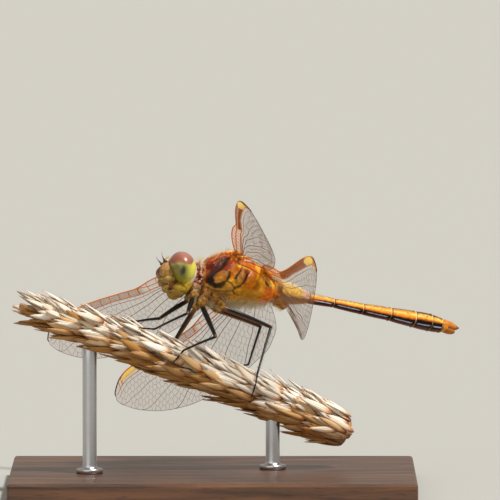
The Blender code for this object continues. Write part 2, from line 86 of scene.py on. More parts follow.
def nodePoints(node, place=worldPlace):
    # a CAD node's own points in millimetres, in the frame that the matrix places
    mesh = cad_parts[node].data
    flat = np.empty(len(mesh.vertices) * 3)
    mesh.vertices.foreach_get("co", flat)
    return np.unique(np.round(moved(flat.reshape(-1, 3) / mm, place.inverted()), 3), axis=0)


def linearColour(hexText):
    parts = [int(hexText[i:i + 2], 16) / 255 for i in (1, 3, 5)]
    return (*[p / 12.92 if p <= 0.04045 else ((p + 0.055) / 1.055) ** 2.4 for p in parts], 1.0)


def outputOf(value):
    # a node stands for its first output in use
    if isinstance(value, bpy.types.Node):
        return next(output for output in value.outputs if output.enabled)
    return value


def addNode(tree, kind, inputs=None, **settings):
    # one node with its settings; an input is a value, a hex colour, a node or a node's output
    node = tree.nodes.new(kind)
    for key, value in settings.items():
        setattr(node, key, value)
    for key, value in (inputs or {}).items():
        if isinstance(value, (bpy.types.Node, bpy.types.NodeSocket)):
            tree.links.new(outputOf(value), node.inputs[key])
        elif isinstance(value, str) and value.startswith("#"):
            node.inputs[key].default_value = linearColour(value)
        else:
            node.inputs[key].default_value = value
    return node


def setAttribute(mesh, name, values, kind="FLOAT"):
    layer = mesh.attributes.new(name, kind, "POINT")
    field = {"FLOAT": "value", "FLOAT_VECTOR": "vector", "FLOAT_COLOR": "color"}[kind]
    layer.data.foreach_set(field, np.ascontiguousarray(values, np.float32).ravel())


def shown(name, data):
    # an object in the scene
    thing = bpy.data.objects.new(name, data)
    bpy.context.scene.collection.objects.link(thing)
    return thing


def newMesh(name, points, faces):
    mesh = bpy.data.meshes.new(name)
    mesh.from_pydata(np.asarray(points).tolist(), [], [tuple(face) for face in faces])
    shape = bmesh.new()
    shape.from_mesh(mesh)
    bmesh.ops.recalc_face_normals(shape, faces=shape.faces)
    shape.to_mesh(mesh)
    shape.free()
    mesh.shade_smooth()
    return mesh


def newPiece(name, points, faces, place, material):
    # points in millimetres, in the frame that the matrix places in the world
    mesh = newMesh(name, moved(points, place) * mm, faces)
    mesh.materials.append(material)
    return shown(name, mesh)


def joined(forms):
    points, faces, first = [], [], 0
    for formPoints, formFaces in forms:
        points.append(np.asarray(formPoints, float))
        faces += [tuple(int(i) + first for i in face) for face in formFaces]
        first += len(formPoints)
    return np.concatenate(points), faces


def loft(rings):
    # rings of equally many points as one closed form, each end closed at its ring's middle
    rings = np.asarray(rings, float)
    rows, columns = rings.shape[:2]
    points = np.concatenate([rings.reshape(-1, 3), [rings[0].mean(0), rings[-1].mean(0)]])
    turn = [(j, (j + 1) % columns) for j in range(columns)]
    first, last, tail = rows * columns, rows * columns + 1, (rows - 1) * columns
    faces = [(i + j, i + k, i + columns + k, i + columns + j)
             for i in range(0, tail, columns) for j, k in turn]
    for j, k in turn:
        faces += [(first, k, j), (last, tail + j, tail + k)]
    return points, faces


def smoothRead(table, places):
    # rows of (place, value, value ...) read at other places with no corners
    table, places = np.asarray(table, float), np.asarray(places, float)
    x, values = table[:, 0], table[:, 1:]
    slopes = np.gradient(values, x, axis=0)
    i = np.clip(np.searchsorted(x, places, side="right") - 1, 0, len(x) - 2)
    step = (x[i + 1] - x[i])[:, None]
    t = ((places - x[i]) / (x[i + 1] - x[i]))[:, None]
    start = (2 * t**3 - 3 * t**2 + 1) * values[i] + (t**3 - 2 * t**2 + t) * slopes[i] * step
    return start + (3 * t**2 - 2 * t**3) * values[i + 1] + (t**3 - t**2) * slopes[i + 1] * step


def smoothLine(points, count):
    # evenly many values along a line of places, or of single values
    points = np.asarray(points, float)
    numbered = np.column_stack([np.arange(len(points)), points])
    read = smoothRead(numbered, np.linspace(0, len(points) - 1, count))
    return read if points.ndim > 1 else read[:, 0]


def tube(line, radii, sides=12, up=(0, 0, 1), ridges=0.0):
    # a limb round a line, with its own radius at each point; ridges give it edges
    line, rings = np.asarray(line, float), []
    angles = np.linspace(0, 2 * math.pi, sides, endpoint=False)
    for i, place in enumerate(line):
        along = unit(line[min(i + 1, len(line) - 1)] - line[max(i - 1, 0)])
        right = unit(np.cross(along, up))
        top = np.cross(right, along)
        reach = radii[i] * (1 + ridges * np.cos(4 * angles))
        rings.append(place + np.outer(reach * np.cos(angles), right) + np.outer(reach * np.sin(angles), top))
    return loft(rings)


def tiltTable(tilt):
    # a turn about the left-right axis, in degrees
    return np.array(Euler((0, math.radians(tilt), 0)).to_matrix())


def ellipsoid(centre, radii, across=20, around=32, tilt=0.0):
    rings, b = [], np.linspace(0, 2 * math.pi, around, endpoint=False)
    for i in range(1, across):
        a = math.pi * i / across
        wide = math.sin(a)
        rings.append(np.column_stack([np.full(around, math.cos(a)), wide * np.cos(b), wide * np.sin(b)]))
    points, faces = loft(rings)
    points[-2], points[-1] = (1, 0, 0), (-1, 0, 0)
    return points * np.asarray(radii) @ tiltTable(tilt).T + np.asarray(centre), faces


def reachOf(points, centre, radii, tilt=0.0):
    # 1 on an ellipsoid, less inside it
    return np.linalg.norm((points - np.array(centre)) @ tiltTable(tilt) / radii, axis=1)


def plainMesh(source, name):
    # the evaluated object as a mesh of its own; the source goes
    graph = bpy.context.evaluated_depsgraph_get()
    final = source.evaluated_get(graph)
    mesh = bpy.data.meshes.new_from_object(final, preserve_all_data_layers=True, depsgraph=graph)
    start = source.data
    bpy.data.objects.remove(source)
    bpy.data.meshes.remove(start)
    mesh.name = name
    return mesh


def fused(name, forms, voxel, rounds):
    # closed forms that overlap, made one closed skin of small even faces; still in millimetres
    source = shown(name, newMesh(name, *joined(forms)))
    remesh = source.modifiers.new("one skin", "REMESH")
    remesh.mode = "VOXEL"
    remesh.voxel_size = voxel
    even = source.modifiers.new("even", "SMOOTH")
    even.factor = 0.5
    even.iterations = rounds
    return plainMesh(source, name)


def meshValues(values, field):
    flat = np.empty(len(values) * 3, np.float32)
    values.foreach_get(field, flat)
    return flat.reshape(-1, 3).astype(float)


def surface(mesh):
    # the mesh's points and their normals
    return meshValues(mesh.vertices, "co"), meshValues(mesh.vertex_normals, "vector")


def pushOut(mesh, amount):
    # moves each point along its normal by its own amount, and gives the new points and normals
    points, normals = surface(mesh)
    mesh.vertices.foreach_set("co", (points + normals * amount[:, None]).astype(np.float32).ravel())
    mesh.update()
    return surface(mesh)


def showMesh(mesh, place, material):
    # a mesh in millimetres, placed and shown
    mesh.transform(Matrix.Scale(mm, 4) @ place)
    mesh.shade_smooth()
    mesh.materials.clear()
    mesh.materials.append(material)
    return shown(mesh.name, mesh)


def step(low, high, values):
    # 0 below low, 1 above high, smooth between them
    t = np.clip((values - low) / (high - low), 0, 1)
    return t * t * (3 - 2 * t)


def fall(low, high, values):
    return 1 - step(low, high, values)


def roughness(points, wave):
    # an uneven value from about -1 to 1 at each point, with this many swings to 2 pi millimetres
    x, y, z = (points * wave).T
    first = np.sin(x + 1.7 * np.sin(0.7 * y + 0.4 * z)) * np.sin(1.3 * y - 0.6 * x + 1.1 * np.sin(z))
    second = np.sin(2.3 * z + 1.3 * np.sin(1.9 * x)) * np.sin(2.1 * y + 1.7 * x + 0.9 * np.sin(2.7 * z))
    return 0.6 * first + 0.55 * second


def lineDistance(points, line):
    # distance of flat points from a line of flat points
    nearest = np.full(len(points), 1e9)
    for first, second in zip(line, line[1:]):
        first, way = np.asarray(first, float), np.subtract(second, first)
        share = np.clip(((points - first) @ way) / (way @ way), 0, 1)
        nearest = np.minimum(nearest, np.linalg.norm(points - first - share[:, None] * way, axis=1))
    return nearest


def stroke(points, line, half, soft=0.06):
    # 1 on a painted line of this half width, falling to 0 over its soft edge
    return fall(half - soft, half + soft, lineDistance(points, line))


def patch(points, outline, soft):
    # 1 inside a closed outline, 0 outside, over a soft edge
    outline = np.asarray(outline, float)
    inside = np.zeros(len(points), bool)
    for (x0, y0), (x1, y1) in zip(outline, np.roll(outline, -1, 0)):
        spans = (y0 > points[:, 1]) != (y1 > points[:, 1])
        inside ^= spans & (points[:, 0] < (x1 - x0) * (points[:, 1] - y0) / (y1 - y0 + 1e-12) + x0)
    away = lineDistance(points, [*outline, outline[0]])
    return step(-soft, soft, np.where(inside, away, -away))


def creases(mesh, points, normals, rounds):
    # how deep each point lies under its surroundings, in millimetres; negative on ridges
    edges = np.empty(len(mesh.edges) * 2, np.int64)
    mesh.edges.foreach_get("vertices", edges)
    first, second = edges.reshape(-1, 2).T
    size = len(points)
    count = np.bincount(np.concatenate([first, second]), minlength=size)[:, None]
    level = points.copy()
    for _ in range(rounds):
        total = [np.bincount(first, side[second], size) + np.bincount(second, side[first], size)
                 for side in level.T]
        level = (level + np.column_stack(total)) / (count + 1)
    return ((level - points) * normals).sum(1)


class Paint:
    # a colour for each point, laid on in coats of a mask and a colour
    def __init__(self, count, hexText):
        self.colour = np.tile(linearColour(hexText), (count, 1))

    def lay(self, mask, hexText):
        mask = np.clip(mask, 0, 1)[:, None]
        self.colour = self.colour * (1 - mask) + np.array(linearColour(hexText)) * mask

    def store(self, mesh):
        setAttribute(mesh, "paint", self.colour, "FLOAT_COLOR")


def newTree(name, inputs):
    tree = bpy.data.node_groups.new(name, "GeometryNodeTree")
    for label, kind in {"Geometry": "Geometry", **inputs}.items():
        tree.interface.new_socket(label, in_out="INPUT", socket_type="NodeSocket" + kind)
    tree.interface.new_socket("Geometry", in_out="OUTPUT", socket_type="NodeSocketGeometry")
    return tree, tree.nodes.new("NodeGroupInput").outputs


def closeTree(tree, given, geometry):
    # the last steps: the material, then out
    finish = addNode(tree, "GeometryNodeSetMaterial", {"Geometry": geometry, "Material": given["Finish"]})
    addNode(tree, "NodeGroupOutput", {"Geometry": finish})
    return tree


def grown(source, tree, values, name):
    # runs a tree on an object and gives the plain mesh that comes out
    modifier = source.modifiers.new(tree.name, "NODES")
    modifier.node_group = tree
    for item in tree.interface.items_tree:
        if item.in_out == "INPUT" and item.name in values:
            modifier[item.identifier] = values[item.name]
    return shown(name, plainMesh(source, name))


# the trunk: lengths in millimetres, in the body's own frame, left side first
trunk = {
    "voxel": 0.066,
    "smoothing": 4,
    "taper": 0.14,  # how much narrower the back is than the belly
    "prothorax": ((3.3, 0.2, -2.3, 0.9), (3.9, 0.55, -2.3, 0.98), (4.35, 0.6, -2.25, 1.0),
                  (4.7, 0.42, -1.95, 0.85),
                  (5.05, -0.1, -1.6, 0.6), (5.5, -0.55, -1.35, 0.42), (6.2, -0.6, -1.4, 0.42)),
    "waist": (-3.3, 0.2, -1.1, 0.8),  # the abdomen's start: place, back, belly, half width
    "headBack": ((-0.8, 0.0, -0.15), (0.9, 2.3, 1.9)),  # in the head's frame
    "eyeRims": ((-0.44, 1.12, 0.12), (1.18, 1.34, 1.63), 18),  # behind each eye, in the head's frame
    "hips": {"front": ((4.55, 0.5, -2.0), (4.85, 0.62, -3.35)),
             "mid": ((3.55, 0.62, -2.75), (3.95, 0.77, -4.0)),
             "hind": ((2.7, 0.65, -2.9), (1.5, 0.5, -3.65))},
    "hipRadii": (0.5, 0.43, 0.42, 0.3),
    "hamules": (((-4.6, 0.24, -1.55), (0.6, 0.26, 0.42), 20), ((-5.05, 0.2, -1.75), (0.42, 0.2, 0.4), -30),
                ((-4.2, 0.25, -1.35), (0.5, 0.3, 0.3), 0)),
    "wingPlates": (((1.5, 0.62, 2.02), (0.5, 0.4, 0.34), 25), ((0.6, 0.85, 2.02), (0.52, 0.36, 0.3), 10),
                   ((-0.1, 1.0, 1.78), (0.36, 0.3, 0.26), 0), ((-0.7, 0.85, 1.72), (0.42, 0.3, 0.26), -15),
                   ((-1.5, 0.75, 1.35), (0.45, 0.38, 0.3), 10), ((-2.25, 0.85, 1.0), (0.5, 0.34, 0.28), 0),
                   ((-2.85, 0.9, 0.68), (0.36, 0.3, 0.26), -10),
                   ((-3.3, 0.75, 0.42), (0.36, 0.28, 0.22), -20)),
    "midPlates": (((1.0, 0.0, 2.28), (0.75, 0.5, 0.3), 15), ((-0.1, 0.0, 2.1), (0.5, 0.42, 0.3), -10),
                  ((-1.6, 0.0, 1.6), (0.6, 0.45, 0.26), -15), ((-2.7, 0.0, 1.0), (0.5, 0.4, 0.22), -25)),
}


def ringTable(nodes, least=12):
    # place along the body, back, belly and half width of each of these CAD nodes' rings
    points = np.concatenate([nodePoints(node, bodyPlace) for node in nodes])
    places, rows = np.round(points[:, 0], 2), []
    for x in np.unique(places):
        ring = points[places == x]
        if len(ring) >= least and (not rows or x - rows[-1][0] > 0.05):
            rows.append((x, ring[:, 2].max(), ring[:, 2].min(), abs(ring[:, 1]).max()))
    return rows


def bodyLoft(rows, spacing, sides, taper=0.0, caps=0.3):
    # a smooth trunk form through the rows, drawn in to a small end over the last caps millimetres
    rows = np.asarray(rows)
    places = np.arange(rows[0, 0], rows[-1, 0], spacing)
    around = np.linspace(0, 2 * math.pi, sides, endpoint=False)
    rings = []
    for x, (back, belly, half) in zip(places, smoothRead(rows, places)):
        end = min(x - rows[0, 0], rows[-1, 0] - x)
        draw = math.sqrt(max(1 - (1 - min(end / caps, 1)) ** 2, 0.02))
        width = half * np.sin(around) * (1 - taper * np.cos(around))
        height = (back + belly) / 2 + (back - belly) / 2 * np.cos(around) * draw
        rings.append(np.column_stack([np.full(sides, x), width * draw, height]))
    return loft(rings)


def trunkForms():
    thorax = ringTable(["synthorax"], 16)
    abdomen = ringTable([f"abdomen_{i}" for i in range(1, 11)])
    abdomen = [row for row in abdomen if row[1] > 0] + [trunk["waist"]]
    forms = [bodyLoft(thorax, 0.15, 72, trunk["taper"], 0.25), bodyLoft(abdomen, 0.08, 56, 0.08, 0.12),
             bodyLoft(trunk["prothorax"], 0.12, 48)]
    for centre, radii, *tilt in [trunk["headBack"], *mirrored([trunk["eyeRims"]])]:
        ball, faces = ellipsoid(centre, radii, 28, 44, *tilt)
        forms.append((moved(ball, headInBody), faces))
    for coxa, hip in trunk["hips"].values():
        for side in (1, -1):
            line = np.array([coxa, coxa, hip, hip]) * (1, side, 1)
            line[0] += (line[0] - line[2]) * 0.25
            line[1] += (line[2] - line[1]) * 0.35
            line[2] += (line[1] - line[2]) * 0.25
            forms.append(tube(smoothLine(line, 14), smoothLine(trunk["hipRadii"], 14), 16, (0, 1, 0)))
    for centre, radii, tilt in mirrored(trunk["hamules"] + trunk["wingPlates"] + trunk["midPlates"]):
        forms.append(ellipsoid(centre, radii, 14, 20, tilt))
    return forms, np.array(sorted(abdomen))


# markings of the thorax's side and a few painted highlights, in pairs: place along the body in millimetres,
# degrees down from the back
arc = 0.038  # millimetres of side for each of those degrees
seams = {
    "bandEdge": (1.5, 22, 1.66, 38, 1.9, 55, 2.35, 74, 3.0, 96, 3.22, 126, 3.6, 138),
    "shortStripe": (0.62, 76, 0.85, 90, 1.15, 104),
    "longStripe": (-0.52, 63, -0.36, 78, -0.02, 96, 0.25, 112, 0.5, 121, 0.92, 128, 1.1, 138),
    "lowSeam": (2.9, 150, 2.2, 143, 1.5, 140, 1.15, 138, 0.85, 143, 0.3, 147, -0.8, 150, -2.2, 146),
    "baseSeam": (1.5, 24, 1.38, 37, 0.9, 45, 0.44, 57, -0.64, 62, -1.7, 66, -2.4, 72),
    "rearRim": (-2.1, 64, -2.5, 76, -3.1, 98, -3.7, 124),
}
# each: colour, strength, half width or 0 for a filled outline, soft edge, places
marks = (
    ("#6C1B05", 1.0, 0, 0.15, (4.1, 12, 1.75, 12, 1.6, 36, 1.9, 60, 2.6, 84, 3.1, 110, 3.4, 140, 4.1, 145)),
    ("#8B4015", 0.8, 0, 0.2, (3.9, 8, 2.0, 8, 1.9, 24, 2.8, 31, 3.9, 31)),
    ("#3A0C04", 0.8, 0, 0.22, (2.0, 34, 2.75, 44, 3.05, 62, 3.5, 84, 3.9, 84, 3.7, 58, 3.2, 40, 2.6, 32)),
    ("#B5560C", 0.75, 0.1, 0.14, (1.85, 29, 2.4, 25, 3.0, 27, 3.5, 34)),
    ("#1B0501", 1.0, 0, 0.12, (1.7, 35, 2.2, 36, 2.75, 44, 3.0, 62, 3.45, 84, 3.72, 104, 3.85, 128,
        3.95, 142, 2.9, 142, 2.75, 134, 3.1, 126, 3.15, 106, 2.68, 87, 2.12, 74, 1.86, 58, 1.7, 44)),
    ("#050201", 0.9, 0, 0.12, (1.7, 37, 2.1, 38, 2.55, 46, 2.5, 58, 2.15, 66, 1.98, 56, 1.8, 46)),
    ("#060303", 0.9, 0, 0.15, (3.0, 94, 3.4, 98, 3.65, 118, 3.8, 140, 3.2, 142, 3.25, 126)),
    ("#460A03", 0.5, 0, 0.25, (3.3, 60, 2.9, 50, 2.7, 66, 3.1, 84, 3.5, 92)),
    ("#220B05", 0.95, 0, 0.12, (2.3, 74, 2.0, 78, 1.95, 88, 2.5, 86, 2.9, 96, 3.0, 92, 2.7, 80)),
    ("#922D01", 0.9, 0, 0.12, (1.72, 40, 1.2, 44, 1.0, 55, 1.35, 66, 1.7, 80, 2.1, 86, 2.4, 78, 2.1, 62,
        1.9, 50)),
    ("#DF7607", 0.9, 0, 0.1, (1.05, 56, 0.85, 60, 1.15, 78, 1.3, 94, 1.42, 112, 1.75, 112, 1.7, 92, 1.5, 74,
        1.3, 60)),
    ("#FFD342", 0.9, 0.12, 0.12, (0.98, 60, 0.75, 64)),
    ("#D86C07", 0.7, 0, 0.15, (0.75, 45, -0.2, 44, -0.1, 55, 0.8, 56)),
    ("#EDAF2C", 0.8, 0.08, 0.1, (0.6, 60, 0.1, 63, -0.5, 64)),
    ("#6B1901", 0.85, 0, 0.12, (0.55, 69, -0.5, 69, -0.35, 80, -0.02, 88, 0.4, 77)),
    ("#81581D", 0.85, 0, 0.1, (0.75, 84, 0.15, 86, 0.2, 100, 0.55, 116, 1.1, 118, 1.25, 108, 0.95, 104,
        0.75, 96)),
    ("#985C1E", 1.0, 0, 0.08, (1.95, 92, 2.2, 86, 2.7, 88, 3.1, 102, 3.25, 116, 3.1, 125, 2.75, 125,
        2.3, 118, 2.0, 106)),
    ("#D99E40", 0.5, 0.15, 0.2, (2.9, 118, 2.6, 110)),
    ("#9E7230", 0.7, 0, 0.12, (1.8, 120, 1.4, 124, 1.1, 134, 0.7, 150, 2.6, 152, 2.9, 142, 2.3, 134)),
    ("#0E0A07", 1.0, 0.15, 0.06, (1.76, 88, 1.84, 104, 2.0, 117, 2.4, 127, 2.9, 133, 3.35, 134)),
    ("#0E0A07", 1.0, 0.25, 0.06, (2.25, 125, 2.6, 131, 3.0, 134)),
    ("#F6D868", 0.8, 0.07, 0.08, (1.72, 113, 1.52, 115)),
    ("#280602", 1.0, 0.11, 0.06, (0.6, 75, 0.82, 88, 0.98, 96)),
    ("#2E0A04", 1.0, 0.15, 0.06, (0.92, 93, 1.08, 103)),
    ("#391817", 0.9, 0.1, 0.07, (1.72, 117, 1.4, 119, 1.2, 124, 1.0, 128)),
    ("#A8604E", 0.6, 0.05, 0.06, (-0.76, 64, -0.58, 77)),
    ("#4C1A08", 0.8, 0.04, 0.06, (-0.66, 60, -0.52, 70, -0.28, 80, -0.1, 86)),
    ("#1D0504", 1.0, 0.14, 0.06, (-0.14, 85, 0.0, 98, 0.25, 112, 0.5, 121, 0.92, 128)),
    ("#522317", 0.85, 0.06, 0.08, (0.92, 128, 1.15, 134, 0.85, 142, 0.35, 145)),
    ("#5A351A", 0.75, 0.05, 0.08, (3.0, 150, 2.2, 143, 1.5, 140, 1.15, 136)),
    ("#F1870E", 0.6, 0.05, 0.08, (0.35, 146, -0.8, 150, -2.2, 146)),
    ("#471F13", 0.8, 0.035, 0.06, (1.66, 36, 1.3, 40, 0.9, 38, 0.3, 42, -0.3, 43, -0.9, 38)),
    ("#59150E", 0.7, 0.035, 0.06, (1.2, 50, 0.6, 57, 0.0, 58, -0.7, 61, -1.4, 64, -2.0, 68)),
    # a painted highlight: a white streak of reflected light along the wing base
    ("#ECE8F2", 0.9, 0.08, 0.08, (0.12, 38, -0.4, 36, -0.75, 32)),
    ("#F8DA6A", 0.9, 0.1, 0.1, (0.75, 30, 0.35, 28)),
    ("#EEA466", 0.8, 0.1, 0.1, (-1.2, 28, -1.3, 42, -1.4, 52)),
    ("#F4B848", 0.8, 0.1, 0.12, (-1.7, 52, -2.0, 40)),
    ("#F6CC58", 0.8, 0.13, 0.12, (-2.3, 38, -2.6, 46)),
    ("#DC5416", 0.6, 0.2, 0.2, (-2.2, 108, -3.0, 114)),
    ("#2C1A14", 1.0, 0, 0.1, (-2.2, 82, -2.45, 84, -2.85, 92, -2.8, 103, -2.35, 100)),
    # painted highlights: two pale streaks of reflected light along the rear rim
    ("#F8EEDC", 0.8, 0.09, 0.08, (-2.05, 76, -2.3, 68, -2.55, 62)),
    ("#F6F0EA", 0.8, 0.06, 0.06, (-2.42, 71, -2.72, 86, -3.05, 97, -3.4, 106)),
    ("#582206", 0.8, 0.1, 0.14, (-2.6, 150, -3.4, 160)),
)
# the dark band down the abdomen's side: place along, its upper edge, its middle and its lower edge in degrees
sideBand = ((-7.9, 112, 124, 140), (-9.0, 110, 122, 146), (-10.4, 106, 124, 148), (-13.2, 109, 127, 150),
            (-16.4, 115, 135, 152), (-18.8, 115, 140, 153), (-19.3, 106, 134, 152), (-20.8, 103, 130, 150),
            (-22.2, 96, 124, 150))
# how far down each segment's dark back reaches, in degrees
darkBack = (0, 0, 0, 0, 34, 36, 38, 44, 58, 60, 0)


def onChart(places):
    return np.reshape(places, (-1, 2)) * (1, arc)


class Zones:
    # which part of the trunk each point of its skin belongs to, from 0 to 1, and where it is there
    def __init__(self, points, abdomen):
        self.x, left, inHead = points[:, 0], leftOf(points), moved(points, headInBody.inverted())
        self.down = np.degrees(np.arctan2(left[:, 1], points[:, 2] + 0.4))
        self.flat = np.column_stack([self.x, self.down * arc])
        self.headZ, (centre, radii) = inHead[:, 2], trunk["headBack"]
        self.headRing = np.linalg.norm(((inHead - centre) / radii)[:, 1:], axis=1)
        near = np.minimum(reachOf(inHead, centre, radii), reachOf(leftOf(inHead), *trunk["eyeRims"]))
        self.head = fall(1.03, 1.12, near) * (self.x > 4.6)
        self.rear = fall(-4.0, -3.75, self.x)  # the abdomen
        self.collar = step(3.95, 4.2, self.x) * (1 - self.head)
        self.hip, self.hipShare = np.zeros(len(points)), np.zeros(len(points))
        for start, end in trunk["hips"].values():
            start, way = np.array(start), np.subtract(end, start)
            share = np.clip(((left - start) @ way) / (way @ way), -0.3, 1.2)
            away = np.linalg.norm(left - start - share[:, None] * way, axis=1)
            close = fall(0.52, 0.62, away) * step(0.1, 0.35, share)
            self.hipShare = np.where(close > self.hip, share, self.hipShare)
            self.hip = np.maximum(self.hip, close)
        self.side = (1 - self.rear) * (1 - self.collar) * (1 - self.head) * (1 - self.hip)

        # the abdomen: the segment's number, the share of its length, and degrees down from its back
        ends = [nodePoints(f"abdomen_{i}", bodyPlace)[:, 0] for i in range(1, 11)]
        starts = np.array([-3.75, *[(a.min() + b.max()) / 2 for a, b in zip(ends, ends[1:])], ends[-1].min()])
        back, belly, _ = smoothRead(abdomen, self.x).T
        self.downRear = np.degrees(np.arctan2(left[:, 1], points[:, 2] - (back + belly) / 2))
        self.number = np.clip(np.searchsorted(-starts, -self.x), 1, 10)
        self.length = starts[self.number - 1] - starts[self.number]
        self.share = np.clip((starts[self.number - 1] - self.x) / self.length, 0, 1)
        self.fromFront, self.toBack = self.share * self.length, (1 - self.share) * self.length


def shapeSkin(mesh, p, zones):
    # seams and plates of the thorax, rims and ridges of the abdomen
    x, side, rear, collar, flat = zones.x, zones.side, zones.rear, zones.collar, zones.flat
    number, downRear, length, fromFront = zones.number, zones.downRear, zones.length, zones.fromFront
    seamLines = [lineDistance(flat, onChart(seam)) for name, seam in seams.items() if name != "rearRim"]
    nearest = np.min(seamLines, axis=0)
    push = side * (0.07 * step(0, 0.7, nearest) - 0.05 - 0.05 * fall(0.0, 0.13, nearest))
    push += side * 0.07 * stroke(flat, onChart(seams["rearRim"]), 0.08, 0.1)
    push += side * step(0.9, 1.6, x) * 0.09 * fall(0.0, 0.16, abs(p[:, 1])) * (zones.down < 60)
    rim = 0.07 * fall(0.0, 0.13, fromFront)
    push += rear * (number > 1) * ((0.035 + 0.03 * (number > 5)) * fall(0.0, 0.3, zones.toBack) - rim)
    push += rear * 0.035 * fall(0, 7, abs(downRear - 125)) * (number > 1)
    push += rear * 0.02 * fall(0, 10, downRear) * (number > 2)
    push += rear * 0.03 * fall(0.0, 0.07, abs(fromFront - 0.38 * length)) * (number > 1) * (number < 4)
    push += collar * 0.07 * np.sin(x * 9.0 + 2 * roughness(p, 2.0))
    push += 0.03 * (collar + zones.hip) * roughness(p, 6.0)
    push += 0.012 * np.sin(x * 5.1 + p[:, 2] * 3.3) * np.sin(p[:, 1] * 4.7 - p[:, 2] * 6.1) * (1 - rear)
    return pushOut(mesh, push)


def paintThorax(paint, p, zones, wave, wide):
    x, side, down, lay = zones.x, zones.side, zones.down, paint.lay
    lay(side * step(60, 112, down + 10 * wave), "#C08617")
    lay(side * fall(-0.2, 1.2, x) * step(60, 90, down) * fall(118, 140, down), "#965206")
    lay(side * fall(-2.4, -0.9, x - wave * 0.4) * fall(116, 150, down), "#FFB82E")
    lay(side * fall(20, 60, down) * fall(-3.4, -2.8, -x), "#A03F0A")
    lay(side * fall(-2.6, -1.8, x) * step(96, 120, down), "#EE7815")
    frayed = zones.flat + np.column_stack([roughness(p, 3.1), roughness(p, 5.3)]) * 0.05
    dull = np.zeros(len(p))
    for hexText, strength, half, soft, places in marks:
        mask = stroke(frayed, onChart(places), half, soft) if half else patch(frayed, onChart(places), soft)
        if max(linearColour(hexText)[:3]) < 0.03:  # soot-black marks are matt
            dull = np.maximum(dull, side * mask)
        lay(side * mask * strength * (0.85 + 0.15 * wave), hexText)
    lay(side * step(0.25, 0.9, roughness(p, 4.0)) * 0.35 * (x < 3), "#79390D")
    lay(side * step(0.3, 1.0, -roughness(p, 4.7)) * 0.25 * (down > 60) * (x < 1.7), "#F2BB66")
    lowFront = side * step(1.0, 1.6, x) * step(138, 148, down)
    lay(lowFront * 0.8, "#784B20")
    lay(lowFront * step(0.1, 0.7, roughness(p, 6.0)), "#3D2210")
    lay(lowFront * step(0.3, 0.8, -roughness(p, 5.0)) * 0.7, "#946534")
    # the raised plates at the wing bases: bright orange with pale yellow speckles, partly their own colour
    # and partly painted highlight on the ridges; the hollows between them painted darker as shade
    plates = side * step(0.01, 0.045, -wide) * fall(52, 66, down) * (x < 2.0)
    lay(plates * 0.9, "#FF9A14")
    lay(plates * step(0.2, 0.7, roughness(p, 7.0)) * 0.8, "#FAD054")
    lay(side * fall(58, 70, down) * (x < 2.0) * step(0.01, 0.05, wide), "#7A3408")
    return dull


def paintNeck(paint, zones, crumple):
    # the collar, the head's back and the hips
    collar, head, hip, ring, lay = zones.collar, zones.head, zones.hip, zones.headRing, paint.lay
    lay(collar, "#8C4823")
    lay(collar * step(0.1, 0.7, crumple), "#DAAE90")
    lay(collar * step(0.0, 0.5, -crumple + 0.4 * np.sin(zones.x * 9.0)) * 0.9, "#2F1912")
    lay(head, "#5A341D")
    lay(head * step(0.66, 0.8, ring), "#F1DDD8")
    lay(head * step(0.66, 0.74, ring) * fall(0.8, 0.88, ring) * 0.5, "#B87C60")
    lay(head * fall(-1.5, -0.9, zones.headZ), "#EFC73E")
    lay(hip, "#80521C")
    lay(hip * step(0.4, 0.9, zones.hipShare) * 0.75, "#B08035")
    lay(hip * fall(0.25, 0.5, zones.hipShare) * 0.6, "#38210F")
    lay(hip * step(0.1, 0.7, crumple) * 0.8, "#3F2C17")
    lay(hip * step(0.25, 0.8, -crumple) * 0.6, "#AF8D52")


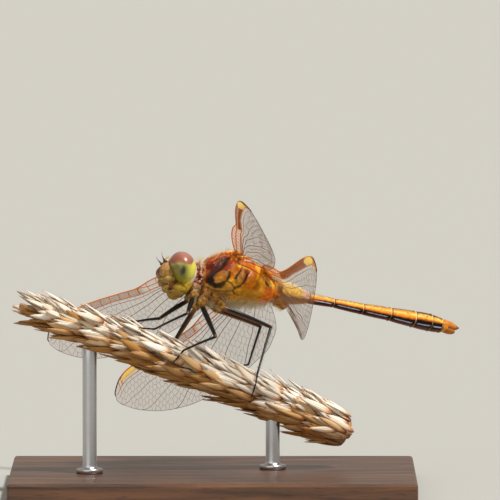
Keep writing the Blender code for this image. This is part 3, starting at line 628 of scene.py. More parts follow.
def paintAbdomen(paint, p, zones, wave):
    x, number, share, down, lay = zones.x, zones.number, zones.share, zones.downRear, paint.lay
    rear, length, fromFront, toBack = zones.rear, zones.length, zones.fromFront, zones.toBack
    early, late, notLast = rear * (number < 4), rear * (number > 3), rear * (number < 10)
    streaky = roughness(p * (1, 3, 3), 3.6)
    lay(rear, "#DBAB3E")
    lay(rear * fall(52, 78, down), "#B4762C")
    lay(rear * step(0.1, 0.9, streaky) * 0.5, "#A5621E")
    lay(rear * (number == 4) * fall(0.2, 0.9, share) * fall(60, 90, down), "#AC9675")
    lay(early * fall(58, 84, down), "#D8C291")
    lay(early * step(70, 90, down), "#E9B751")
    lay(rear * (number == 3) * step(0.45, 0.8, share), "#D6A799")
    lay(early * step(108, 126, down), "#955D44")
    lay(rear * (number == 1), "#FFA524")
    lay(late * step(84, 94, down), "#E18926")
    places, *band = np.array(sideBand).T
    top, middle, low = (np.interp(-x, -places, edge) for edge in band)
    lay(late * step(low - 8, low + 4, down), "#5A1E04")
    dark = step(top - 4, top + 4, down + 2 * streaky) * fall(low - 5, low + 5, down)
    dark *= (number > 3) * (number < 10) * np.where(number == 4, step(0.1, 0.4, share), 1)
    lay(late * (number < 10) * step(top - 14, top - 3, down) * (down < low) * 0.7, "#8B2914")
    lay(rear * dark, "#0C0908")
    glint = fall(2.5, 6.5, abs(down - middle - 1.5 * streaky))
    lay(rear * dark * glint * step(0.06, 0.2, share) * fall(0.8, 0.92, share) * 0.75, "#D0D2E6")
    dot = fall(0.05, 0.11, np.hypot((share - 0.62) * length, (down - 76) * 0.011))
    lay(rear * (number > 4) * (number < 9) * dot * 0.8, "#7A2A14")
    gleam = step(0.5, 0.85, roughness(p * (1, 2, 2), 8.0)) * step(30, 44, down) * fall(74, 90, down)
    lay(late * gleam * 0.6, "#FFE6B8")
    edge = np.array(darkBack)[number]
    lay(notLast * fall(edge - 8, edge + 6, down + 5 * streaky) * 0.85, "#23130B")
    lay(rear * (number == 10), "#DB8722")
    lay(rear * (number == 10) * step(0.2, 0.8, roughness(p, 7.5)) * 0.8, "#7E3A0E")
    rims = notLast * fall(0.05, 0.1, toBack)
    lay(rims * (number > 2) * (1 - step(104, 118, down) * 0.6), "#F1C892")
    lay(rims * (number > 6) * (down < 105), "#DFB860")
    lay(late * fall(0.06, 0.13, fromFront) * 0.85, "#402011")
    lay(rear * (x > -4.35) * step(60, 90, down) * fall(110, 130, down), "#6B391C")
    under = early * step(120, 140, down)
    lay(under, "#A16624")
    lay(under * (x > -5.6) * step(0.0, 0.6, wave), "#973812")


def markCoat(mesh, p, n, zones):
    # the coat: hairs to a square millimetre, their length, which way they lie, how dark they are
    x, side, down, rear, collar, hip = zones.x, zones.side, zones.down, zones.rear, zones.collar, zones.hip
    front = side * step(1.7, 2.6, x) * fall(62, 100, down)
    ridge, belly = front * fall(10, 26, down), side * step(140, 158, down)
    crown, early = side * fall(30, 52, down) * (x < 1.9), zones.number < 4
    tuft = rear * (x > -5.8) * step(120, 140, zones.downRear)
    thick = 4 * side + 3 * front + 14 * ridge + 60 * belly + 44 * collar + 26 * hip + 6 * crown
    thick += 12 * zones.head * step(0.6, 0.8, zones.headRing) + rear * np.where(early, 12, 2.5) + 25 * tuft
    long = 0.3 * side + 0.2 * front + 0.5 * ridge + 0.5 * belly + 0.85 * collar * (down < 60) + 0.35 * collar
    long += 0.3 * zones.head + 0.42 * hip + 0.35 * crown + rear * np.where(early, 0.4, 0.14) + 0.3 * tuft
    lie = n + np.outer(front + collar, (0.15, 0, 0.5)) + np.outer(belly, (-0.35, 0, -0.3))
    lie += np.outer(rear, (-1.4, 0, 0)) + np.outer(side * (1 - front) * (1 - belly), (-0.7, 0, -0.5))
    setAttribute(mesh, "thick", thick)
    setAttribute(mesh, "long", long)
    setAttribute(mesh, "lie", unit(lie), "FLOAT_VECTOR")
    setAttribute(mesh, "darkHair", np.clip(crown * 0.75 + rear * (zones.number > 3) * 0.6, 0, 1))
    # an unwrap round the body's own length, for the coat's roots
    turn = np.arctan2(p[:, 1], p[:, 2] + 0.4) / (2 * math.pi) + 0.5
    along = (p[:, 0] - p[:, 0].min()) / np.ptp(p[:, 0])
    setAttribute(mesh, "unwrap", np.column_stack([turn * 0.98, along * 0.98, 0 * turn]), "FLOAT_VECTOR")


def makeBodySkin(material):
    forms, abdomen = trunkForms()
    mesh = fused("bodySkin", forms, trunk["voxel"], trunk["smoothing"])
    first = surface(mesh)[0]
    zones = Zones(first, abdomen)
    p, n = shapeSkin(mesh, first, zones)
    fine, wide = creases(mesh, p, n, 4), creases(mesh, p, n, 22)
    wave = np.sin(p[:, 0] * 2.3 + p[:, 2] * 1.9) * np.sin(p[:, 2] * 3.1 - p[:, 0] * 1.3)
    crumple = roughness(p, 6.5)
    paint = Paint(len(p), "#B15A0E")
    setAttribute(mesh, "dull", paintThorax(paint, p, zones, wave, wide))
    paintNeck(paint, zones, crumple)
    paintAbdomen(paint, p, zones, wave)
    # painted shade: the hips darker in their creases, and every crease and hollow of the skin darker
    paint.lay(zones.hip * step(0.0, 0.03, wide + 0.012 * crumple) * 0.8, "#251409")
    deep = step(0.004, 0.02, fine) * 0.7 + step(0.02, 0.09, wide) * 0.6
    paint.lay(deep * (1 - zones.rear * 0.5) * 0.75, "#331C11")
    paint.store(mesh)
    markCoat(mesh, p, n, zones)
    return showMesh(mesh, bodyPlace, material)


class Finish:
    # a Principled material in the making: colours as sRGB hex, lengths in millimetres
    def __init__(self, name, sockets):
        self.material = bpy.data.materials.new(name)
        self.material.use_nodes = True
        self.tree = self.material.node_tree
        self.shader = self.tree.nodes["Principled BSDF"]
        for key, value in sockets.items():
            self.shader.inputs[key].default_value = linearColour(value) if "Color" in key else value
        self.place = self.add("TexCoord").outputs["Object"]

    def add(self, kind, inputs=None, **settings):
        return addNode(self.tree, "ShaderNode" + kind, inputs, **settings)

    def value(self, name, output="Fac"):
        return self.add("Attribute", attribute_name=name).outputs[output]

    def noise(self, grain, detail=2.0, uneven=0.0):
        # a grain of three lengths is drawn out along one of them
        vector, scale = self.place, 1.0
        if isinstance(grain, tuple):
            scales = tuple(1 / (size * mm) for size in grain)
            vector = self.add("Mapping", {"Vector": vector, "Scale": scales})
        else:
            scale = 1 / (grain * mm)
        return self.add("TexNoise", {
            "Vector": vector, "Scale": scale, "Detail": detail, "Distortion": uneven})

    def mixed(self, share, first, second, **settings):
        return self.add("Mix", {0: share, 6: first, 7: second}, data_type="RGBA", **settings)

    def ranged(self, value, low, high, start=0.0, end=1.0):
        return self.add("MapRange", {
            "Value": value, "From Min": start, "From Max": end, "To Min": low, "To Max": high})

    def scaled(self, colour, share):
        return self.add("VectorMath", {0: colour, "Scale": share}, operation="SCALE")

    def maths(self, kind, operation, *values):
        return self.add(kind, dict(enumerate(values)), operation=operation)

    def ramp(self, value, first, last, *others):
        # each stop is a position and a colour
        node = self.add("ValToRGB", {"Fac": value})
        stops = node.color_ramp.elements
        for stop, (position, hexText) in zip(list(stops), (first, last)):
            stop.position, stop.color = position, linearColour(hexText)
        for position, hexText in others:
            stops.new(position).color = linearColour(hexText)
        return node

    def done(self, colour, relief=None, **outputs):
        # relief is a height, its strength and its depth
        if relief:
            height, strength, depth = relief
            bump = {"Height": height, "Strength": strength, "Distance": abs(depth) * mm}
            outputs["Normal"] = self.add("Bump", bump, invert=depth < 0)
        for key, node in {"Base Color": colour, **outputs}.items():
            self.tree.links.new(outputOf(node), self.shader.inputs[key])
        return self.material


def makeCuticle(name, roughness, shine, grain, relief, mottle):
    # insect shell: hardened, waxy, a little uneven; its markings come in the paint attribute
    look = Finish(name, {"Roughness": roughness, "Specular IOR Level": shine})
    tone = look.ranged(look.noise(grain * 4, 3.0), 1 - mottle, 1 + mottle, 0.3, 0.7)
    pits = look.noise(grain, 5.0)
    rough = look.ranged(pits, roughness - 0.1, roughness + 0.16)
    matt = look.maths("Math", "MULTIPLY_ADD", look.value("dull"), 0.3, rough)
    return look.done(look.scaled(look.value("paint", "Color"), tone), (pits, 0.6, relief), Roughness=matt)


def makeCornea():
    # compound eye: a glassy lens sheet over pigment, its facets a faint net of twice their real size
    look = Finish("eye cornea", {"Roughness": 0.3, "Coat Weight": 0.45, "Coat Roughness": 0.03, "IOR": 1.4})
    facets = look.add("TexVoronoi", {"Vector": look.place, "Scale": 1 / (0.07 * mm)})
    tone = look.ranged(facets, 1.06, 0.88, 0.0, 0.7)
    return look.done(look.scaled(look.value("paint", "Color"), tone), (facets, 0.15, -0.01))


def makeMembrane():
    # wing film: clear dry chitin a few thousandths thick, crinkled, with an oily sheen
    look = Finish("wing membrane", {"Roughness": 0.2, "IOR": 1.5, "Specular IOR Level": 0.1})
    flush = look.value("flush")
    film = look.ramp(look.noise(1.6, 3.0), (0.35, "#A67C56"), (0.68, "#BE8E66"))
    solid = look.ranged(flush, 0.13, 0.92)
    return look.done(look.mixed(flush, film, "#B45C12"), (look.noise(0.5), 0.5, 0.03), Alpha=solid)


def makeVein():
    # wing veins: solid chitin tubes, amber along the front edge and nearly black elsewhere
    look = Finish("wing vein chitin", {"Roughness": 0.38, "IOR": 1.56})
    dark = look.mixed(look.noise(0.9), "#2B1C12", "#4A2E1A")
    return look.done(look.mixed(look.value("amber"), dark, "#F58A0A"))


def makeSpotWax():
    # wing spot: a cell filled with waxy yellow pigment, faintly wrinkled; its faint glow is painted light, an
    # emission standing in for light soaking through it
    look = Finish("wing spot wax", {
        "Roughness": 0.45, "IOR": 1.5, "Emission Color": "#FFC038", "Emission Strength": 0.2})
    fine = look.noise(0.25, 3.0)
    return look.done(look.mixed(fine, "#FFD85C", "#FFEA90"), (fine, 0.4, 0.02))


def makeBristle(name, pale, bright, dark):
    # hair and spines: solid chitin bristles, pale ones half clear and silky
    look = Finish(name, {"Roughness": 0.35, "IOR": 1.55, "Sheen Weight": 0.3})
    light = look.mixed(look.noise(0.6), pale, bright)
    return look.done(look.mixed(look.value("darkHair"), light, dark))


def makeStraw():
    # dry grass husk: papery, ribbed along its length, bleached along its keel, rusty at the foot and rims
    look = Finish("dry straw", {"Roughness": 0.5, "IOR": 1.45, "Sheen Weight": 0.1})
    strand = look.value("strand", "Vector")
    parts = look.add("SeparateXYZ", {0: strand}).outputs
    along = look.ramp(parts["Y"], (0.0, "#8A5230"), (1.0, "#E6BC8C"), (0.12, "#C88C5C"), (0.26, "#FAE2C6"),
                      (0.42, "#FFF8EC"), (0.84, "#FFFAF0"), (0.95, "#F6DCBC"))
    # the husks on the perch's underside are browner: partly their weathered colour, partly painted shade
    undersideBrownAndShade = look.ramp(look.value("tint"), (0.0, "#FFFAF2"), (1.0, "#B47A22"), (0.5, "#E6C08A"))
    husk = look.mixed(1.0, along, undersideBrownAndShade, blend_type="MULTIPLY")
    shift = look.scaled(look.place, 400.0)
    drawnOut = look.maths("VectorMath", "MULTIPLY_ADD", strand, (5.0, 1.2, 1.0), shift)
    streak = look.add("TexNoise", {"Vector": drawnOut, "Scale": 1.0, "Detail": 3.0})
    streaked = look.mixed(look.ranged(streak, 0.0, 0.5, 0.5, 0.72), husk, "#B07A4A")
    ribs = look.maths("Math", "SINE", look.maths("Math", "MULTIPLY", parts["X"], 22.0))
    return look.done(look.scaled(streaked, look.ranged(ribs, 0.9, 1.04, -1.0)), (ribs, 0.6, 0.04))


def makePith():
    # the seed head's stem: brown dry pith with the scars of fallen seeds
    look = Finish("stem pith", {"Roughness": 0.8, "IOR": 1.45})
    fibre = look.noise(0.35, 5.0)
    return look.done(look.mixed(fibre, "#7A5028", "#C09664"), (fibre, 0.7, 0.08))


def makeWood():
    # the base: walnut, sanded and oiled, with fine pores along the grain
    look = Finish("oiled walnut", {
        "Roughness": 0.42, "IOR": 1.48, "Coat Weight": 0.12, "Coat Roughness": 0.25})
    rings = look.ramp(look.noise((14, 1.1, 1.1), 4.0, 0.6), (0.34, "#2E1B10"), (0.68, "#6B452A"))
    pores = look.ranged(look.noise((1.6, 0.12, 0.12)), 0.55, 1.0, 0.3, 0.45)
    return look.done(look.scaled(rings, pores), (pores, 0.4, 0.02))


def makeSteel():
    # the rods: stainless steel, turned and brushed round, so its scratches run round the rod
    look = Finish("brushed steel", {"Metallic": 1.0, "Roughness": 0.3})
    lines = look.noise((6, 6, 0.03), 3.0)
    tint = look.mixed(lines, "#B0B0B2", "#C8C8C8")
    return look.done(tint, (lines, 0.2, 0.01), Roughness=look.ranged(lines, 0.22, 0.42))


# the head, in its own frame: millimetres, left side
face = {
    "voxel": 0.036,
    "smoothing": 5,
    "plates": (  # centre, radii, tilt, colour; those off the middle come in pairs
        ((1.0, 0.52, -0.22), (0.96, 0.82, 0.84), -8, "#A07540"),
        ((1.05, 0.0, -0.2), (0.94, 0.66, 0.82), 0, "#7E5426"),
        ((1.0, 0.0, -1.06), (0.84, 1.0, 0.36), 8, "#8E6C30"),
        ((0.88, 0.74, -1.1), (0.66, 0.6, 0.4), 12, "#8E7236"),
        ((0.98, 0.0, -1.44), (0.56, 0.68, 0.26), 12, "#82591F"),
        ((0.7, 0.28, -1.76), (0.6, 0.54, 0.38), 16, "#A38038"),
        ((0.6, 0.84, -1.5), (0.42, 0.34, 0.5), 10, "#6E4418"),
        ((-0.16, 1.02, -1.93), (0.66, 0.56, 0.54), -8, "#A08024"),
        ((-0.24, 0.42, -1.98), (0.8, 0.6, 0.42), -6, "#A07622"),
        ((0.4, 0.0, -1.9), (0.42, 0.4, 0.28), 20, "#8A6626"),
        ((1.12, 0.0, 0.86), (0.46, 0.6, 0.38), 0, "#E0804A"),
        ((1.5, 0.0, 0.78), (0.14, 0.14, 0.13), 0, "#E8D8B0"),
        ((1.2, 0.5, 0.9), (0.12, 0.12, 0.12), 0, "#E8D8B0"),
        ((1.46, 0.52, 0.74), (0.2, 0.17, 0.15), 0, "#2A1810"),
    ),
    "spots": (  # centre, radius, strength, colour
        ((1.88, 0.35, -0.2), 0.34, 0.9, "#4A1E0C"),
        ((1.5, 0.5, 0.42), 0.3, 0.8, "#D8A23C"),
        ((1.3, 0.95, -0.3), 0.35, 0.5, "#8A7A34"),
        ((1.6, 0.75, -0.15), 0.16, 0.6, "#C49A58"),
        ((1.5, 0.8, -0.75), 0.2, 0.7, "#A07A32"),
        ((1.42, 0.72, -1.08), 0.16, 0.9, "#4A2A12"),
        ((1.2, 0.55, -1.5), 0.2, 0.7, "#6A3E18"),
        ((1.0, 0.8, -1.6), 0.12, 0.7, "#D88A3C"),
        ((0.73, 0.62, -1.95), 0.26, 0.9, "#40220E"),
        ((0.55, 0.9, -0.95), 0.14, 0.7, "#6A4420"),
        ((-0.55, 1.2, -1.55), 0.3, 0.9, "#E0B82C"),
    ),
    "eyeCentre": (-0.15, 1.22, 0.12),
    "eyeRadii": (1.37, 1.5, 1.7),
    "eyeTilt": 18,  # degrees, the top forward
    "eyeFlat": (0.75, 0.4, (0.8, 0.0, -0.6)),  # from this far out that way, flatter by this share
    "eyeHalfSeam": 0.012,
    "darkSpot": ((0.14, 2.52, -0.52), (0.3, 0.55)),  # place on the left eye, half width and half height
    "antenna": ((1.5, 0.52, 0.78), (1.66, 0.56, 0.93), (1.82, 0.64, 1.1), (1.95, 0.76, 1.3),
                (2.02, 0.9, 1.52)),
    "antennaRadii": (0.1, 0.07, 0.032, 0.02, 0.012),
}


def eyeReach(points):
    # 1 on the left eye's surface, more outside it
    start, flatter, way = face["eyeFlat"]
    out = np.maximum((points - np.array(face["eyeCentre"])) @ np.array(way) - start, 0)
    unsquashed = points + np.outer(out * flatter / (1 - flatter), way)
    return reachOf(unsquashed, face["eyeCentre"], face["eyeRadii"], face["eyeTilt"])


def makeEye(name, sign, material):
    centre = np.array(face["eyeCentre"]) * (1, sign, 1)
    points, faces = ellipsoid(centre, face["eyeRadii"], 110, 150, face["eyeTilt"])
    start, flatter, way = face["eyeFlat"]
    points -= np.outer(np.maximum((points - centre) @ np.array(way) - start, 0) * flatter, way)
    points[:, 1] = np.maximum(points[:, 1] * sign, face["eyeHalfSeam"]) * sign
    x, y, z = leftOf(points).T
    edge = 0.12 + np.where(x > 0, 0.1 * x, -0.15 * x) + 1.1 * step(-0.55, -1.3, x) + 0.04 * np.sin(x * 5.0)
    paint = Paint(len(points), "#9A9430")
    paint.lay(fall(-1.3, -0.4, z), "#97861A")
    # the eye's front painted darker and its back lighter: partly its own colour, partly painted shade and
    # light
    paint.lay(step(0.1, 0.9, x) * 0.8, "#685A22")
    paint.lay(fall(-1.1, 0.0, x), "#E0DA54")
    paint.lay(step(-0.35, 0.0, z - edge) * 0.5, "#B2AE5C")
    paint.lay(step(-0.1, 0.14, z - edge), "#96583E")
    paint.lay(step(0.5, 1.4, z) * 0.6, "#AC7A6C")
    paint.lay(step(0.2, 0.9, x) * step(0.1, 0.4, z - edge) * 0.5, "#7C3624")
    (spotX, _, spotZ), (wide, high) = face["darkSpot"]
    near = np.hypot((x - spotX - 0.1 * (z - spotZ)) / wide, (z - spotZ) / high)
    paint.lay(fall(0.35, 1.2, near) * (y > 1.6), "#0C0D06")
    paint.lay(fall(1.0, 2.2, near) * (y > 1.6) * 0.35, "#3E421C")
    piece = newPiece(name, points, faces, headPlace, material)
    paint.store(piece.data)
    return piece


def makeFace(material):
    rows = mirrored(face["plates"])
    forms = [ellipsoid(place, radii, 26, 34, tilt) for place, radii, tilt, _ in rows]
    mesh = fused("facePlates", forms, face["voxel"], face["smoothing"])
    p, n = surface(mesh)
    left = leftOf(p)
    x, y, z = left.T
    away = [abs(reachOf(p, place, radii, tilt) - 1) * min(radii) for place, radii, tilt, _ in rows]
    owner = np.argmin(away, axis=0)
    fine, wide = creases(mesh, p, n, 3), creases(mesh, p, n, 14)
    groove = step(0.002, 0.012, fine)
    pushOut(mesh, -0.03 * groove - 0.02 * fall(0.0, 0.08, y) * (z > -0.6) * (z < 0.8))
    paint = Paint(len(p), rows[0][3])
    for k, (*_, hexText) in enumerate(rows):
        paint.lay((owner == k) * 1.0, hexText)
    uneven = roughness(p, 5.5)
    paint.lay(step(0.15, 0.9, uneven) * 0.5, "#6A441E")
    paint.lay(step(0.2, 0.9, -uneven) * 0.4, "#C4A244")
    for centre, radius, strength, hexText in face["spots"]:
        near = np.linalg.norm(left - centre, axis=1) + 0.06 * uneven
        paint.lay(fall(radius * 0.5, radius * 1.25, near) * strength, hexText)
    base = (x > 0.6) * step(0.5, 0.58, z) * fall(0.66, 0.76, z)
    paint.lay(base * (y < 1.2), "#0E0A09")
    paint.lay(step(0.95, 1.1, z) * 0.5, "#D09A70")
    rim = eyeReach(left)
    # painted shade: a dark line where the face meets the eye, and darker grooves and hollows
    paint.lay(fall(1.015, 1.05, rim) * (z > -1.2), "#241A12")
    paint.lay(groove * 0.7 + step(0.01, 0.05, wide) * 0.5, "#33200F")
    paint.store(mesh)
    setAttribute(mesh, "thick", (22 * (x > 0.9) + 8 + 30 * (z > 0.3)) * (rim > 1.06))
    setAttribute(mesh, "long", 0.16 + 0.2 * step(-0.8, 0.4, z) + 0.1 * (z > 0.9))
    setAttribute(mesh, "lie", unit(n + (0.5, 0, 0.4)), "FLOAT_VECTOR")
    setAttribute(mesh, "darkHair", 0.35 * step(-0.6, 0.6, z))
    front = np.where(n[:, 0] > 0, 0.0, 0.3) - 0.15  # front and back side by side
    unwrap = np.column_stack([p[:, 1] / 6 + 0.5 + front, z / 6 + 0.5, 0 * z])
    setAttribute(mesh, "unwrap", unwrap, "FLOAT_VECTOR")
    return showMesh(mesh, headPlace, material)


def makeAntenna(name, sign, material):
    line = smoothLine(np.array(face["antenna"]) * (1, sign, 1), 22)
    radii = np.maximum(smoothLine(face["antennaRadii"], 22), 0.013)
    piece = newPiece(name, *tube(line, radii, 10, (0, 1, 0)), headPlace, material)
    Paint(len(piece.data.vertices), "#1E1713").store(piece.data)
    return piece


# the wings, in the body's frame: the same numbers as their plates, with true thickness
wings = {
    "forewing": {
        "length": 25.8, "root": (0.5, 0.9, 2.0), "sweep": 23.3, "droop": 7.8, "pitch": (32.7, 46.3),
        "rise": 0.4, "sag": 0.0, "flush": 0.05, "strip": {1: 1.0, -1: 0.3},
        "outline": ((0, 0.5, 0.7), (0.06, 0.75, 1.7), (0.15, 1.0, 2.9), (0.3, 1.12, 4.2), (0.4, 0.98, 4.65),
            (0.48, 0.66, 4.95), (0.57, 0.74, 5.1), (0.7, 0.84, 5.2), (0.85, 0.62, 4.6), (0.92, 0.3, 3.8),
            (0.96, -0.2, 3.1), (0.985, -0.8, 2.5), (1.0, -1.3, 1.9)),
    },
    "hindwing": {
        "length": 24.8, "root": (-2.3, 0.9, 1.0), "sweep": 11.4, "droop": 17.9, "pitch": (47.2, 75.0),
        "rise": 1.6, "sag": 1.1, "flush": 0.11, "strip": {1: 0.85, -1: 0.3},
        "outline": ((0, 0.45, 1.3), (0.05, 0.6, 4.6), (0.12, 0.8, 6.0), (0.24, 0.95, 6.4),
            (0.34, 0.95, 6.35), (0.42, 0.75, 6.25), (0.5, 0.8, 6.15), (0.65, 0.85, 5.8), (0.83, 0.62, 4.75),
            (0.92, 0.25, 3.7), (0.96, -0.2, 3.0), (0.985, -0.75, 2.5), (1.0, -1.2, 2.0)),
    },
}
wingBuild = {
    "camber": 0.02,
    "film": 0.024,  # thickness of the membrane
    "nodus": {"forewing": 0.48, "hindwing": 0.42},
    "spot": (0.82, 0.942),  # where the wing spot starts and ends, as shares of the length
    "cell": (0.62, 0.56),  # length and height of a net cell
    "mainRadius": 0.055,
    "sideRadius": 0.03,
    "netRadius": 0.0115,
    "seed": 11,
}
# each vein, in pairs: share of the length, share of the chord from the front edge; 1 is the rear edge
veinLines = {
    "forewing": (
        (0, 0.3, 0.06, 0.19, 0.15, 0.14, 0.3, 0.105, 0.42, 0.085, 0.48, 0.0, 1, 0),
        (0, 0.45, 0.06, 0.34, 0.15, 0.27, 0.3, 0.205, 0.42, 0.165, 0.48, 0.13, 0.62, 0.105, 0.83, 0.155,
         0.93, 0.2, 0.985, 0.34, 1, 0.5),
        (0, 0.45, 0.08, 0.38, 0.14, 0.32, 0.3, 0.245, 0.48, 0.19, 0.65, 0.17, 0.85, 0.23, 0.93, 0.31,
         0.985, 0.6, 1, 0.8),
        (0, 0.45, 0.1, 0.39, 0.2, 0.31, 0.4, 0.255, 0.5, 0.28, 0.65, 0.34, 0.8, 0.46, 0.92, 0.7, 0.965, 1,
         1, 1),
        (0, 0.48, 0.1, 0.42, 0.2, 0.35, 0.36, 0.32, 0.5, 0.38, 0.65, 0.52, 0.78, 0.74, 0.87, 1, 1, 1),
        (0, 0.5, 0.1, 0.44, 0.17, 0.36, 0.3, 0.4, 0.45, 0.5, 0.6, 0.7, 0.72, 1, 1, 1),
        (0, 0.56, 0.1, 0.5, 0.16, 0.46, 0.26, 0.53, 0.4, 0.66, 0.55, 1, 1, 1),
        (0, 0.7, 0.06, 0.66, 0.13, 0.62, 0.2, 0.74, 0.28, 0.86, 0.36, 1, 1, 1),
    ),
    "hindwing": (
        (0, 0.16, 0.06, 0.1, 0.15, 0.08, 0.3, 0.075, 0.36, 0.068, 0.42, 0.0, 1, 0),
        (0, 0.24, 0.06, 0.18, 0.15, 0.15, 0.3, 0.135, 0.42, 0.105, 0.62, 0.1, 0.83, 0.155, 0.93, 0.2,
         0.985, 0.34, 1, 0.5),
        (0, 0.24, 0.08, 0.21, 0.14, 0.19, 0.3, 0.175, 0.42, 0.16, 0.65, 0.16, 0.85, 0.23, 0.93, 0.31,
         0.985, 0.6, 1, 0.8),
        (0, 0.24, 0.08, 0.22, 0.18, 0.215, 0.35, 0.21, 0.45, 0.24, 0.65, 0.32, 0.8, 0.45, 0.92, 0.7,
         0.965, 1, 1, 1),
        (0, 0.28, 0.08, 0.25, 0.16, 0.25, 0.3, 0.27, 0.45, 0.34, 0.62, 0.5, 0.76, 0.74, 0.86, 1, 1, 1),
        (0, 0.32, 0.08, 0.26, 0.14, 0.27, 0.28, 0.35, 0.42, 0.46, 0.56, 0.68, 0.68, 1, 1, 1),
        (0, 0.38, 0.06, 0.31, 0.12, 0.34, 0.22, 0.46, 0.34, 0.62, 0.48, 1, 1, 1),
        (0, 0.5, 0.04, 0.4, 0.1, 0.45, 0.16, 0.62, 0.24, 0.8, 0.31, 1, 1, 1),
    ),
}


def wingSurface(kind, sign):
    # gives places on a wing from shares of its length and of its chord
    wing = wings[kind]
    sweep, droop = math.radians(wing["sweep"]), math.radians(wing["droop"])
    span = np.array([math.sin(sweep), sign * math.cos(sweep), 0]) * math.cos(droop)
    span[2] = -math.sin(droop)
    level = np.array([-1.0, 0, 0])
    chord = unit(level - span * (level @ span))
    upper = np.cross(span, chord)
    upper *= math.copysign(1, upper[2])
    root = np.array(wing["root"]) * (1, sign, 1)
    firstPitch, lastPitch = wing["pitch"]

    def place(u, f, lift=0.0):
        u, f = np.broadcast_arrays(np.asarray(u, float), np.asarray(f, float))
        lead, trail = smoothRead(wing["outline"], u).T
        pitch = np.radians(firstPitch + (lastPitch - firstPitch) * u)[:, None]
        tilted = chord * np.cos(pitch) - upper * np.sin(pitch)
        normal = upper * np.cos(pitch) + chord * np.sin(pitch)
        arch = wing["rise"] * u * u - wing["sag"] * np.sin(math.pi * u) ** 2
        origin = root + np.outer(u * wing["length"], span) + np.outer(arch, upper)
        reach = f * (lead + trail)
        pleat = -0.1 * np.exp(-((reach - 0.42) / 0.2) ** 2) + 0.05 * np.exp(-((reach - 0.95) / 0.25) ** 2)
        pleat += 0.05 * np.sin(reach * 4.2) * step(0.9, 2.2, reach) * fall(0.7, 0.95, f)
        bulge = wingBuild["camber"] * (lead + trail) * np.sin(math.pi * f) + pleat * fall(0.9, 1.0, u) + lift
        return origin + tilted * (reach - lead)[:, None] + normal * bulge[:, None]

    return place


def chordAt(kind, u):
    # how far a wing reaches before and behind its axis at one share of its length
    return smoothRead(wings[kind]["outline"], [u])[0]


def veinReader(kind):
    # gives the share of the chord where a long vein lies; number 0 and the last are the edges
    shares = np.linspace(0, 1, 201)
    lines = [np.zeros(201)]
    for vein in veinLines[kind]:
        values = np.pad(np.interp(shares, *np.reshape(vein, (-1, 2)).T), 5, mode="edge")
        values = np.convolve(values, np.ones(11) / 11, "valid")
        lines.append(np.clip(np.maximum(values, lines[-1]), 0, 1))
    lines.append(np.ones(201))
    return lambda number, u: np.interp(u, shares, lines[number])


def netMiddles(kind, vein, last, draw):
    # the middles of the net's cells: place along, share of the chord, and which strip they lie in
    (long, high), length = wingBuild["cell"], wings[kind]["length"]
    middles = []
    for strip in range(3, last):
        for i in range(int(length / long) + 1):
            for row in range(14):
                u = (i + 0.5 * (row % 2) + 0.25) * long / length
                if u > 0.985:
                    continue
                front, back = vein(strip, u), vein(strip + 1, u)
                deep = (back - front) * chordAt(kind, u).sum()
                rows = max(int(round(deep / high)), 1) if deep > 0.24 else 0
                if row < rows:
                    f = front + (back - front) * (row + 0.5 + draw.uniform(-0.1, 0.1)) / rows
                    middles.append((u * length + draw.uniform(-0.06, 0.06), f, strip))
    for i in range(int(length / 0.5) + 4):
        u = min(max((i - 1) * 0.5 / length, -0.02), 1.03)
        outside = 0.28 / chordAt(kind, min(max(u, 0), 1)).sum()
        middles += [(u * length, vein(3, u) - outside, 2), (u * length, 1 + outside, last)]
    return middles


def netWalls(kind, vein, seed):
    # walls of the cells behind the front strips: the borders between evenly scattered cell middles
    length, last, farthest = wings[kind]["length"], len(veinLines[kind]) + 1, 0.35
    middles, flat = netMiddles(kind, vein, last, random.Random(seed)), []
    for along, f, _ in middles:
        lead, trail = chordAt(kind, min(max(along / length, 0), 1))
        flat.append(Vector((along, f * (lead + trail) - lead)))
    vertices, _, triangles, origins, _, _ = delaunay_2d_cdt(flat, [], [], 0, 1e-5)
    strips = [middles[found[0]][2] if found else last for found in origins]
    corners, sides = [], {}
    for number, triangle in enumerate(triangles):
        a, b, c = (np.array(vertices[i]) for i in triangle)
        middle = corner = (a + b + c) / 3
        d = 2 * (a[0] * (b[1] - c[1]) + b[0] * (c[1] - a[1]) + c[0] * (a[1] - b[1]))
        if abs(d) > 1e-4:
            x = ((a @ a) * (b[1] - c[1]) + (b @ b) * (c[1] - a[1]) + (c @ c) * (a[1] - b[1])) / d
            y = ((a @ a) * (c[0] - b[0]) + (b @ b) * (a[0] - c[0]) + (c @ c) * (b[0] - a[0])) / d
            corner = np.array([x, y])
        away = np.linalg.norm(corner - middle)
        if away > farthest:
            corner = middle + (corner - middle) * farthest / away
        u = min(max(corner[0] / length, 0.0), 0.995)
        lead, trail = chordAt(kind, u)
        f = (corner[1] + lead) / (lead + trail)
        around = sorted({strips[i] for i in triangle})
        if len(around) > 1:  # on a long vein or the rear edge
            f = vein(around[1], u)
        corners.append((u, min(max(f, 0.0), 1.0)))
        for i in range(3):
            sides.setdefault(tuple(sorted((triangle[i], triangle[(i + 1) % 3]))), []).append(number)
    return [(corners[found[0]], corners[found[1]]) for (a, b), found in sides.items()
            if len(found) == 2 and strips[a] == strips[b] and 3 <= strips[a] < last]


